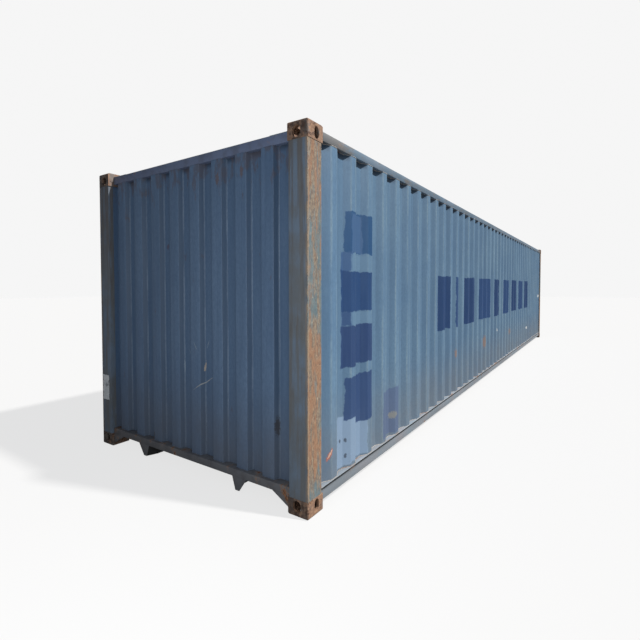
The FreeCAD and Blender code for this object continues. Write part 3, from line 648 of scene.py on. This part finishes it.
# %% [markdown]
# ## Front wall
# The end wall is heavier sheet with eight wide ribs and steep flanks. They stand a little off the middle.
# Its paint is the same blue, with the rubbed line only along the foot of one flank of each rib, where
# other boxes have slid past it. Scratches, rust spots and one small hole are a short list of uneven
# ovals.

# %% Front wall
FRONT_PITCH = 0.2528
FRONT_CREST = 0.111
FRONT_SLOPE = 0.018
FRONT_DEPTH = 0.044
FRONT_SHIFT = 0.047
FRONT_RIBS = 8
FRONT_BEND = 0.007
FRONT_SHEET = 0.002
FRONT_SETBACK = 0.055     # of the crests from the outer plane of the castings
front_low, front_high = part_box("front_wall")
front_first = -FRONT_SHIFT - FRONT_PITCH * (FRONT_RIBS - 1) / 2
front_edge = front_high.y - 0.0001
lap_plane = front_low.x
crest_plane = low[0] + FRONT_SETBACK

FRONT_TONES = ("566f8f", "647d9b", "48607c", "7c8ea4", "63656b")

# marks on the front wall: colour, place across, height, reach across and up, turn in degrees, strength
FRONT_MARKS = (("0c0e12", 0.250, 1.850, 0.009, 0.012, 0, 1.0),
               ("5c4a55", 0.310, 1.865, 0.018, 0.024, 0, 0.6),
               ("6b5348", -0.345, 2.345, 0.018, 0.050, 0, 0.6),
               ("6b5348", -0.595, 2.360, 0.016, 0.042, 0, 0.6),
               ("4f4a4a", 0.480, 0.200, 0.010, 0.050, 0, 0.8),
               ("3c3a3c", -0.905, 0.540, 0.010, 0.062, 0, 0.8),
               ("a6a9a8", -0.145, 0.745, 0.004, 0.100, -58, 0.9),
               ("b0a294", -0.153, 0.880, 0.005, 0.040, -6, 0.9),
               ("8898a8", 0.100, 0.855, 0.004, 0.050, 0, 0.8),
               ("8898a8", -0.080, 1.040, 0.004, 0.040, 30, 0.8),
               ("8898a8", -0.180, 1.060, 0.004, 0.035, -20, 0.8),
               ("8898a8", -0.240, 0.455, 0.004, 0.060, 3, 0.8),
               ("7f90a2", 0.020, 0.960, 0.003, 0.050, 35, 0.6))


def front_finish():
    """Paint of the front wall, with scratches, rust spots and one small hole."""
    material, place = new_finish("chalked_blue_enamel_front")
    tree = material.node_tree
    colour, dirt = wall_paint(tree, place, 1, FRONT_SHIFT + FRONT_PITCH / 2, FRONT_PITCH, FRONT_CREST,
                              FRONT_TONES, flank=FRONT_SLOPE)
    head = add(tree, "MapRange", (add(tree, "SeparateXYZ", (place,)).outputs[2], 2.15, 2.5, -0.2, 0.03))
    grime = blotches(place, 0.12, 0.5, 0.06, (1.0, 2.0, 0.7), head)
    colour = layer(colour, grime, "5b5257", 0.55)
    scratches = blotches(place, 0.4, 0.012, 0.006, (1.0, 1.4, 14.0))
    colour = layer(colour, scratches, "8fa0b4", 0.55)
    for code, y, z, along, up, turn, strength in FRONT_MARKS:
        share = spot(tree, place, (low[0], y, z), (1.0, along, up), turn)
        colour = layer(colour, share, code, strength)
    colour, rust = rust_over(place, colour, 0.07, 0.004)
    return finished(material, place, colour, 0.5, 0.8, dirt, 0.004, rust, dents=0.004)


front_paint = front_finish()
print("front paint:", len(front_paint.node_tree.nodes), "nodes")
front_values = {"Ribs": FRONT_RIBS, "First": front_first, "Pitch": FRONT_PITCH, "Crest": FRONT_CREST,
                "Slope": FRONT_SLOPE, "Depth": FRONT_DEPTH, "Start": -front_edge, "End": front_edge,
                "Lap": lap_plane - crest_plane, "Bend": FRONT_BEND, "Bottom": front_low.z,
                "Top": front_high.z, "Rows": 30, "Dent": 0.014, "Finish": front_paint}
to_front = Matrix.Translation((crest_plane, 0.0, 0.0)) @ Matrix.Rotation(-math.pi / 2, 4, "Z")
front_wall = grown("front_wall_sheet", pressed_sheet, front_values, to_front, FRONT_SHEET)
settle(front_wall, "end_panel", "front_wall")

# %% [markdown]
# ## Heavy steel with rounded edges
# Castings, posts, rails and plates keep their CAD shape, but no real edge is perfectly sharp: it would
# catch no light. A merged copy of the node gets its flat faces joined up and its sharp edges bevelled.
# The copy stands for the node. The radius depends on the piece: several millimetres on a casting or a
# folded post, one on cut plate.


# %% Rounding helper
SAME_POINT = 0.00002      # corners closer than this are one
SHARP_TURN = math.radians(32)
SQUARE_TURN = math.radians(60)


def sharp_edges(shape, turn):
    """Edges between two faces that turn by more than an angle."""
    return [e for e in shape.edges if len(e.link_faces) == 2 and e.calc_face_angle(0.0) > turn]


def rounded(node, radius, finish, slot, chosen=None, steps=2, rim=0.0):
    """A copy of a CAD node with its flat faces merged and its sharp edges, or the chosen ones, rounded.

    With a rim, the sharp edges that are left over get that smaller radius."""
    shape = bmesh.new()
    shape.from_mesh(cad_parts[node].data)
    bmesh.ops.remove_doubles(shape, verts=shape.verts, dist=SAME_POINT)
    bmesh.ops.dissolve_limit(shape, angle_limit=math.radians(0.8), verts=shape.verts, edges=shape.edges)
    picked = [e for e in sharp_edges(shape, SHARP_TURN) if chosen is None or chosen(e)]
    bmesh.ops.bevel(shape, geom=picked, offset=radius, offset_type="OFFSET", segments=steps, profile=0.5,
                    affect="EDGES", clamp_overlap=True)
    if rim:
        bmesh.ops.bevel(shape, geom=sharp_edges(shape, SQUARE_TURN), offset=rim, offset_type="OFFSET",
                        segments=1, profile=0.5, affect="EDGES", clamp_overlap=True)
    mesh = bpy.data.meshes.new(node + "_finished")
    shape.to_mesh(mesh)
    shape.free()
    mesh.materials.append(finish)
    mesh.shade_smooth()
    mesh.set_sharp_from_angle(angle=SHARP_TURN)
    return settle(placed(node + "_finished", mesh), slot, node)


# %% [markdown]
# ## Rusted cast steel
# Corner fittings are cast steel, fettled and painted once. Every lift scrapes them, so little paint is
# left: the eye sees tan and brown rust with a grainy skin. More of the grey remains towards the far side.
# The faces at the two ends of the box get blotches of painted shade.

# %% Castings
def casting_finish():
    """Rusted cast steel with remains of grey paint."""
    material, place = new_finish("rusted_cast_steel")
    tree = material.node_tree
    mottled = blotches(place, 0.05, 0.5, 0.14)
    base = layer("8d6c55", mottled, "7a5f50")
    light = blotches(place, 0.02, 0.3, 0.08)
    colour = layer(base, light, "a5846a", 0.7)
    across = add(tree, "SeparateXYZ", (place,)).outputs[1]
    painted = add(tree, "Math", (across, 0.07), "MULTIPLY")
    grey = blotches(place, 0.09, 0.35, 0.06, guide=painted)
    colour = layer(colour, grey, "6e6b68", 0.8)
    # Painted shade: faces that look to the ends of the box are darkened in blotches.
    facing = add(tree, "NewGeometry").outputs["True Normal"]
    endways = add(tree, "Math", (add(tree, "SeparateXYZ", (facing,)).outputs[0],), "ABSOLUTE")
    end_shade_blotches = blotches(place, 0.06, 0.6, 0.12)
    darker = add(tree, "Math", (endways, end_shade_blotches), "MULTIPLY")
    colour = layer(colour, darker, "3f3a38", 0.8)
    scale = blotches(place, 0.03, 0.22, 0.05)
    colour = layer(colour, scale, "4a3429", 0.8)
    return finished(material, place, colour, 0.7, 0.9, mottled, 0.003, scale, dents=0.002)


CASTING_CORNER = 0.013
CASTING_RIM = 0.0035
casting_steel = casting_finish()
casting_names = sorted(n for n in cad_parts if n.startswith("casting_"))


def outer_corner(edge):
    """Whether an edge lies on two of the container's own outer planes."""
    ends = [v.co for v in edge.verts]
    planes = [(0, low[0]), (0, high[0]), (1, low[1]), (1, high[1]), (2, low[2]), (2, high[2])]
    return sum(all(abs(end[axis] - level) < 0.0005 for end in ends) for axis, level in planes) == 2


for name in casting_names:
    rounded(name, CASTING_CORNER, casting_steel, "casting", outer_corner, steps=4, rim=CASTING_RIM)
print("castings:", len(casting_names))

# %% [markdown]
# ## Worn paint on posts, rails and sills
# The frame is folded steel plate painted in the same job. It was primed in grey, and the blue has
# weathered off to a grey-green with brown rust running down it. The faces that take knocks, out to the
# side, are the rustiest. The surface normal times the place across the box tells those faces from the
# ones that look inwards or to the ends.

# %% Frame finishes
def frame_finish(name, tones, rust_cover, tall=True, ledge=None, brown_ends=False):
    """Worn paint over folded plate: two paint tones, a streak tone, and a share of rust.

    A ledge is the height of a lip with a painted black shadow line under it. Brown ends get a film of rust."""
    material, place = new_finish(name)
    tree = material.node_tree
    fresh, faded, streak = tones
    slow = blotches(place, 0.4, 0.5, 0.16)
    colour = layer(fresh, slow, faded)
    drawn = (14.0, 14.0, 0.9) if tall else (0.8, 8.0, 8.0)
    runs = blotches(place, 0.8, 0.36, 0.1, drawn)
    colour = layer(colour, runs, streak, 0.6)
    axes = add(tree, "SeparateXYZ", (place,))
    if brown_ends:
        from_middle = add(tree, "Math", (axes.outputs[0],), "ABSOLUTE")
        near_end = add(tree, "MapRange", (from_middle, high[0] - 0.8, high[0] - 0.2, -0.05, 0.3))
        film = blotches(place, 0.05, 0.3, 0.1, (0.4, 1.0, 1.0), near_end)
        colour = layer(colour, film, "665f57", 0.7)
    if ledge:
        # Painted shadow: a black line just under the lip of the ledge.
        under = add(tree, "Math", (axes.outputs[2], ledge - 0.013, 0.011), "COMPARE")
        colour = layer(colour, under, "17191c", 0.9)
    colour, rust = rust_over(place, colour, 0.10, rust_cover,
                             (1.0, 1.0, 0.45) if tall else (0.45, 1.0, 1.0))
    return finished(material, place, colour, 0.55, 0.85, rust, 0.004, rust)


rail_paint = frame_finish("weathered_rail_paint", ("5b7184", "6b7a8a", "54636f"), 0.025, tall=False,
                          brown_ends=True)
low_rail_paint = frame_finish("dirty_rail_paint", ("828f9a", "8c8d93", "747b81"), 0.07, tall=False,
                              ledge=WALL_FOOT)
seam_paint = frame_finish("rusty_seam_paint", ("9a9895", "a8a39b", "86796d"), 0.16, tall=False)
end_paint = frame_finish("shaded_end_paint", ("66728f", "6b7894", "595f70"), 0.04, tall=False)
sill_paint = frame_finish("dirty_sill_paint", ("65666a", "6d6a6a", "565457"), 0.12, tall=False)


def post_finish():
    """Weathered grey-blue paint over folded plate, rusted to tan on the faces that look out sideways."""
    material, place = new_finish("worn_post_paint")
    tree = material.node_tree
    axes = add(tree, "SeparateXYZ", (place,))
    facing = add(tree, "NewGeometry").outputs["True Normal"]
    turned = add(tree, "SeparateXYZ", (facing,))
    outward = add(tree, "Math", (turned.outputs[1], axes.outputs[1]), "MULTIPLY")
    outer = add(tree, "MapRange", (outward, 0.25, 0.8))
    slow = blotches(place, 0.35, 0.5, 0.14)
    colour = layer("6a7a8c", slow, "666b70")
    head = add(tree, "MapRange", (axes.outputs[2], 1.5, 2.4, 0.0, 0.1))
    runs = blotches(place, 0.8, 0.3, 0.08, (16.0, 16.0, 0.9), head)
    colour = layer(colour, runs, "594e45", 0.75)
    wet = blotches(place, 0.6, 0.3, 0.1, (12.0, 12.0, 0.7))
    colour = layer(colour, wet, "72797d", 0.5)

    upper_belt = add(tree, "MapRange", (axes.outputs[2], 1.7, 2.3, -0.03, 0.09))
    from_belt = add(tree, "Math", (axes.outputs[2], 0.75), "SUBTRACT")
    off_belt = add(tree, "Math", (from_belt,), "ABSOLUTE")
    lower_belt = add(tree, "MapRange", (off_belt, 0.35, 0.6, 0.13, -0.02))
    belts = add(tree, "Math", (upper_belt, lower_belt), "MAXIMUM")
    lit_grey = blotches(place, 0.06, 0.5, 0.1)
    side = layer("596a70", lit_grey, "657478")
    mottle = blotches(place, 0.016, 0.5, 0.12, (1.0, 1.0, 0.5))
    tan = layer("66554a", mottle, "8f7e69")
    film = blotches(place, 0.04, 0.5, 0.09, (1.0, 1.0, 0.22), belts)
    side = layer(side, film, tan, 0.9)
    hot = blotches(place, 0.03, 0.16, 0.06, (1.0, 1.0, 0.16), belts)
    side = layer(side, hot, "94694a", 0.6)
    specks = blotches(place, 0.014, 0.16, 0.06, (1.0, 1.0, 0.6))
    side = layer(side, specks, "564a41", 0.65)
    flakes = blotches(place, 0.012, 0.07, 0.04, (1.0, 1.0, 0.5))
    side = layer(side, flakes, "b9b09c", 0.6)
    colour = layer(colour, outer, side)

    edge_x = add(tree, "Math", (axes.outputs[0],), "ABSOLUTE")
    edge_y = add(tree, "Math", (axes.outputs[1],), "ABSOLUTE")
    near_x = add(tree, "Math", (high[0], edge_x), "SUBTRACT")
    near_y = add(tree, "Math", (high[1], edge_y), "SUBTRACT")
    from_fold = add(tree, "Math", (near_x, near_y), "MAXIMUM")
    fold = add(tree, "MapRange", (from_fold, 0.026, 0.008))
    patchy = blotches(place, 0.05, 0.6, 0.08, (1.0, 1.0, 0.4))
    scuffed = add(tree, "Math", (fold, patchy), "MULTIPLY")
    colour = layer(colour, scuffed, "94806a", 0.8)
    few = add(tree, "Math", (outer, 0.05), "MULTIPLY")
    colour, _ = rust_over(place, colour, 0.03, 0.008, (1.0, 1.0, 0.4), few)
    return finished(material, place, colour, 0.6, 0.85, film, 0.004, hot)


post_paint = post_finish()
print("post paint:", len(post_paint.node_tree.nodes), "nodes")


def upright(edge):
    """Whether an edge stands upright and is over half a metre long."""
    rise = abs(edge.verts[0].co.z - edge.verts[1].co.z)
    return rise > 0.5 and rise > 0.99 * edge.calc_length()


for side in ("right", "left"):
    rounded("front_post_" + side, 0.0025, post_paint, "post", upright)
    rounded("rear_post_" + side, 0.006, post_paint, "post", upright)
    rounded("top_rail_" + side, 0.004, rail_paint, "frame")
    rounded("bottom_rail_" + side, 0.0015, low_rail_paint, "frame")
for name, radius, finish in (("front_header", 0.004, end_paint), ("front_sill", 0.0015, sill_paint),
                             ("sill_gussets", 0.001, sill_paint), ("tunnel_flares", 0.001, sill_paint),
                             ("rear_header", 0.0015, rail_paint), ("rear_sill", 0.0015, low_rail_paint)):
    rounded(name, radius, finish, "frame")

# %% [markdown]
# ## Roof, underframe and floor
# The roof is the same blue, bleached by the sun and stained where water stands. The floor members are
# dipped in black bitumen, which goes dull and dusty. The floor is hardwood plywood whose long grain runs
# across the members.

# %% Roof and underside finishes
def roof_finish():
    """Bleached paint with standing-water stains and rust spots."""
    material, place = new_finish("bleached_roof_paint")
    slow = blotches(place, 0.7, 0.5, 0.16)
    colour = layer("5f7486", slow, "74848f")
    water = blotches(place, 0.5, 0.3, 0.03)
    colour = layer(colour, water, "6b6f70", 0.5)
    colour, rust = rust_over(place, colour, 0.16, 0.05)
    return finished(material, place, colour, 0.5, 0.85, water, 0.004, rust, dents=0.004)


def bitumen_finish():
    """Dull black bituminous underseal, thick and dusty."""
    material, place = new_finish("black_bitumen_underseal")
    dust = blotches(place, 0.2, 0.45, 0.14)
    colour = layer("2b2b2c", dust, "45423e")
    colour, rust = rust_over(place, colour, 0.12, 0.05)
    return finished(material, place, colour, 0.55, 0.9, dust, 0.010, rust)


def plywood_finish():
    """Oiled hardwood plywood with its grain across the container."""
    material, place = new_finish("oiled_hardwood_plywood")
    grain = blotches(place, 0.3, 0.5, 0.14, (26.0, 1.2, 26.0))
    colour = layer("8a6546", grain, "6d4c35")
    stains = blotches(place, 0.35, 0.3, 0.08)
    colour = layer(colour, stains, "453529", 0.5)
    return finished(material, place, colour, 0.5, 0.75, stains, 0.002)


def dress(node, finish):
    """Give a CAD node that keeps its own mesh a finish."""
    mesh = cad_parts[node].data
    mesh.materials.clear()
    mesh.materials.append(finish)


roof_paint = roof_finish()
underseal = bitumen_finish()
plywood = plywood_finish()
dress("roof", roof_paint)
rounded("roof_corner_plates", 0.001, roof_paint, "roof_panel")
for name in ("cross_members", "tunnel_bows", "tunnel_roof", "tunnel_side_right", "tunnel_side_left"):
    dress(name, underseal)
dress("floor", plywood)
print("roof and underside:", roof_paint.name, underseal.name, plywood.name)

# %% [markdown]
# ## Door end
# Each leaf is a frame of tubes with a pressed panel in it, hung on four hinges and shut by two bars. The
# panels use the same pressed sheet tree as the walls. The bars and brackets are hot dip galvanised: zinc
# gives a pale grey with cloudy patches. The gaskets are extruded black rubber.

# %% Door finishes
def galvanised_finish():
    """Old galvanised steel: cloudy pale grey zinc with brown stains."""
    material, place = new_finish("old_galvanised_steel")
    tree = material.node_tree
    cloud = blotches(place, 0.05, 0.5, 0.12)
    colour = layer("8b9093", cloud, "a3a7a6")
    colour, rust = rust_over(place, colour, 0.06, 0.09)
    bare = add(tree, "Mix", {0: rust, 2: 0.65, 3: 0.0}, data_type="FLOAT")
    tree.links.new(bare.outputs[0], tree.nodes["Principled BSDF"].inputs["Metallic"])
    return finished(material, place, colour, 0.5, 0.85, rust, 0.006, rust)


def rubber_finish():
    """Black extruded rubber, greyed by dust."""
    material, place = new_finish("black_gasket_rubber")
    dust = blotches(place, 0.08, 0.4, 0.14)
    colour = layer("262626", dust, "3b3a38")
    return finished(material, place, colour, 0.55, 0.8, dust, 0.003)


door_paint = frame_finish("worn_door_paint", ("56728c", "66809a", "4b657c"), 0.03)
zinc = galvanised_finish()
rubber = rubber_finish()

# %% Doors
DOOR_SHEET = 0.002
for side in ("right", "left"):
    rounded("door_frame_" + side, 0.004, door_paint, "frame")
    panel_low, panel_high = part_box("door_panel_" + side)
    run = panel_high.y - panel_low.y
    values = {**even_ribs(run), "Bottom": panel_low.z, "Top": panel_high.z, "Rows": 20, "Dent": 0.008,
              "Finish": door_paint}
    middle = (panel_low.y + panel_high.y) / 2
    to_door = Matrix.Translation((panel_high.x, middle, 0.0)) @ Matrix.Rotation(math.pi / 2, 4, "Z")
    panel = grown("door_panel_sheet_" + side, pressed_sheet, values, to_door, DOOR_SHEET)
    settle(panel, "side_panel", "door_panel_" + side)
for name in ("hinge_blades", "hinge_lugs", "lock_bars", "bar_brackets", "lock_cams", "cam_keepers",
             "door_handles"):
    rounded(name, 0.0015, zinc, "door_gear")
rounded("door_gaskets", 0.004, rubber, "gasket")
print("door end:", door_paint.name, zinc.name, rubber.name)

# %% [markdown]
# ## Bolts on the door gear
# Hinge blades and bar brackets are held by hexagon bolts on round washers. They are all alike, so one
# Geometry Nodes tree puts a head and a washer on each point it is given, each turned a little further
# round than the last, as a fitter leaves them. The points come from the gear: a ray from outside finds
# the face that each bolt sits on.

# %% Bolt tree
BOLT_ACROSS = 0.017
BOLT_HEIGHT = 0.006
WASHER = 0.0015
HEX_CORNER = 0.577        # radius to the corners of a hexagon, as a share of its width across flats
WASHER_EDGE = 0.72


def bolt_tree():
    """Hexagon heads on washers, pointing to +x, one on each point of the mesh."""
    tree, given = new_tree("bolt_heads", [("Points", "Geometry"), ("Across", "Float"), ("Height", "Float"),
                                          ("Washer", "Float"), ("Finish", "Material")])
    size = given.outputs
    parts = []
    for sides, wide, deep, below in ((6, HEX_CORNER, "Height", "Washer"), (14, WASHER_EDGE, "Washer", None)):
        radius = add(tree, "Math", (size["Across"], wide), "MULTIPLY")
        disc = add(tree, "GeometryNodeMeshCylinder", {"Vertices": sides, "Radius": radius,
                                                      "Depth": size[deep]})
        rise = add(tree, "Math", (size[deep], 0.5, size[below] if below else 0.0), "MULTIPLY_ADD")
        shift = add(tree, "CombineXYZ", (rise,))
        parts.append(add(tree, "GeometryNodeTransform", {"Geometry": disc.outputs["Mesh"],
                                                         "Translation": shift,
                                                         "Rotation": (0.0, math.pi / 2, 0.0)}))
    bolt = add(tree, "GeometryNodeJoinGeometry")
    for part in parts:
        tree.links.new(part.outputs[0], bolt.inputs[0])
    number = add(tree, "GeometryNodeInputIndex")
    angle = add(tree, "Math", (number, 0.7), "MULTIPLY")
    turned = add(tree, "CombineXYZ", (angle,))
    fitted = add(tree, "GeometryNodeInstanceOnPoints", {"Points": size["Points"], "Instance": bolt,
                                                        "Rotation": turned})
    return ended(tree, fitted, size["Finish"])


bolt_heads = bolt_tree()


# %% Bolts
def solid_boxes(node):
    """The lowest and highest corners of each separate solid of a CAD node, in order."""
    shape = bmesh.new()
    shape.from_mesh(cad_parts[node].data)
    bmesh.ops.remove_doubles(shape, verts=shape.verts, dist=SAME_POINT)
    seen, boxes = set(), []
    for vert in shape.verts:
        if vert.index in seen:
            continue
        group, open_ends = [], [vert]
        seen.add(vert.index)
        while open_ends:
            here = open_ends.pop()
            group.append(here.co.copy())
            for edge in here.link_edges:
                other = edge.other_vert(here)
                if other.index not in seen:
                    seen.add(other.index)
                    open_ends.append(other)
        boxes.append(tuple(Vector([pick(p[i] for p in group) for i in range(3)]) for pick in (min, max)))
    shape.free()
    return sorted(boxes, key=lambda box: tuple(box[0]))


def bolts_on(node, shares):
    """Points on a node's outer face at shares of each solid's width, half way up."""
    surface = BVHTree.FromPolygons([v.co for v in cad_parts[node].data.vertices],
                                   [p.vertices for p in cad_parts[node].data.polygons])
    found = []
    for below, above in solid_boxes(node):
        for share in shares:
            across = share if below.y + above.y > 0 else 1 - share
            start = Vector((high[0] + 1.0, below.y + (above.y - below.y) * across, (below.z + above.z) / 2))
            hit = surface.ray_cast(start, Vector((-1.0, 0.0, 0.0)))[0]
            if hit is not None and hit.x + WASHER + BOLT_HEIGHT < high[0]:
                found.append(hit)
    return found


BOLTED = (("bar_brackets", (0.12, 0.88)), ("hinge_blades", (0.12, 0.36)), ("cam_keepers", (0.5,)))
spots = [spot for node, shares in BOLTED for spot in bolts_on(node, shares)]
points = bpy.data.meshes.new("bolt_points")
points.from_pydata([tuple(p) for p in spots], [], [])
bolts = grown("door_bolts", bolt_heads, {"Across": BOLT_ACROSS, "Height": BOLT_HEIGHT, "Washer": WASHER,
                                         "Finish": zinc}, start=points)
settle(bolts, "door_gear")
print("bolts:", len(spots), "highest at", max(p.x for p in spots))

# %% [markdown]
# ## Blank sticker
# A self-adhesive vinyl sheet is stuck on the front of the far post. The weather has eaten its edges and
# bleached it, and dirt sits on it in dark smudges. It carries nothing. It is a thin plate with a nibbled
# outline, so that it has a real edge; the random nibbles have a fixed seed.

# %% Blank sticker
STICKER_INNER = 1.100
STICKER_OUTER = 1.204
STICKER_FOOT = 0.434
STICKER_HEAD = 0.676
STICKER_SHEET = 0.0012
NIBBLE_STEP = 0.008
NIBBLE_DEPTH = 0.008


def vinyl_finish():
    """Bleached matt vinyl with grey and brown dirt."""
    material, place = new_finish("bleached_vinyl")
    cloud = blotches(place, 0.09, 0.5, 0.16)
    colour = layer("c3c8cb", cloud, "dcdfe0")
    dirty = blotches(place, 0.07, 0.22, 0.05)
    colour = layer(colour, dirty, "6f7478", 0.8)
    spots = blotches(place, 0.03, 0.08, 0.03)
    colour = layer(colour, spots, "3b3a3a", 0.9)
    return finished(material, place, colour, 0.45, 0.8, dirty, 0.006)


nibble = random.Random(11)
corners = [(STICKER_INNER, STICKER_FOOT), (STICKER_OUTER, STICKER_FOOT), (STICKER_OUTER, STICKER_HEAD),
           (STICKER_INNER, STICKER_HEAD)]
outline = []
for (y0, z0), (y1, z1) in zip(corners, corners[1:] + corners[:1]):
    steps = round(max(abs(y1 - y0), abs(z1 - z0)) / NIBBLE_STEP)
    for i in range(steps):
        y, z = y0 + (y1 - y0) * i / steps, z0 + (z1 - z0) * i / steps
        bite = nibble.random() ** 3 * NIBBLE_DEPTH
        outline.append((y + math.copysign(bite, (STICKER_INNER + STICKER_OUTER) / 2 - y),
                        z + math.copysign(bite, (STICKER_FOOT + STICKER_HEAD) / 2 - z)))
post_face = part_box("front_post_left")[0].x
sheet = bmesh.new()
sheet_face = sheet.faces.new([sheet.verts.new((post_face + 0.0001, y, z)) for y, z in outline])
front = bmesh.ops.extrude_face_region(sheet, geom=[sheet_face])["geom"]
bmesh.ops.translate(sheet, verts=[v for v in front if isinstance(v, bmesh.types.BMVert)],
                    vec=(-STICKER_SHEET, 0.0, 0.0))
bmesh.ops.recalc_face_normals(sheet, faces=sheet.faces)
sticker_mesh = bpy.data.meshes.new("blank_sticker")
sheet.to_mesh(sticker_mesh)
sheet.free()
sticker_mesh.materials.append(vinyl_finish())
settle(placed("blank_sticker", sticker_mesh), "post")
print("sticker outline:", len(outline), "points")

# %% [markdown]
# ## Weld beads
# The walls are welded to the rails along the whole rib line. A bead is a chain of small overlapping
# ripples. The second Geometry Nodes tree reuses the rib line, divides it evenly, and sweeps a small
# circle along it whose size swells and shrinks with every few points, as the ripples of a hand-laid bead
# do.


# %% Weld bead tree
def weld_bead_tree():
    """A rippled bead along the rib line at one height."""
    extra = [("Height", "Float"), ("Radius", "Float"), ("Finish", "Material")]
    tree, given = new_tree("weld_bead", RIB_INPUTS + extra)
    size = given.outputs
    line = add(tree, "GeometryNodeGroup", {label: size[label] for label, _ in RIB_INPUTS},
               node_tree=rib_line)
    even = add(tree, "GeometryNodeResampleCurve", {"Curve": line, "Length": 0.012}, mode="LENGTH")
    number = add(tree, "GeometryNodeInputIndex")
    turn = add(tree, "Math", (number, 1.9), "MULTIPLY")
    ripple = add(tree, "Math", (turn,), "SINE")
    swell = add(tree, "Math", (ripple, 0.18, 1.0), "MULTIPLY_ADD")
    radius = add(tree, "Math", (swell, size["Radius"]), "MULTIPLY")
    lift = add(tree, "CombineXYZ", {2: size["Height"]})
    raised = add(tree, "GeometryNodeSetPosition", {"Geometry": even, "Offset": lift})
    ring = add(tree, "GeometryNodeCurvePrimitiveCircle", {"Resolution": 6, "Radius": 1.0})
    bead = add(tree, "GeometryNodeCurveToMesh", {"Curve": raised, "Profile Curve": ring, "Scale": radius,
                                                 "Fill Caps": True})
    return ended(tree, bead, size["Finish"])


weld_bead = weld_bead_tree()

# %% Weld beads
BEAD = 0.0028
SEAM_OFFSET = 0.001       # of a bead's middle from the edge of its sheet
seams = (("side_right", side_values, to_right, seam_paint), ("side_left", side_values, to_left, seam_paint),
         ("front", front_values, to_front, front_paint))
for label, values, turn, finish in seams:
    for end, height in (("foot", values["Bottom"] + SEAM_OFFSET), ("head", values["Top"] - SEAM_OFFSET)):
        bead_values = {**values, "Height": height, "Radius": BEAD, "Finish": finish}
        bead = grown("weld_bead_%s_%s" % (label, end), weld_bead, bead_values, turn)
        settle(bead, "frame")
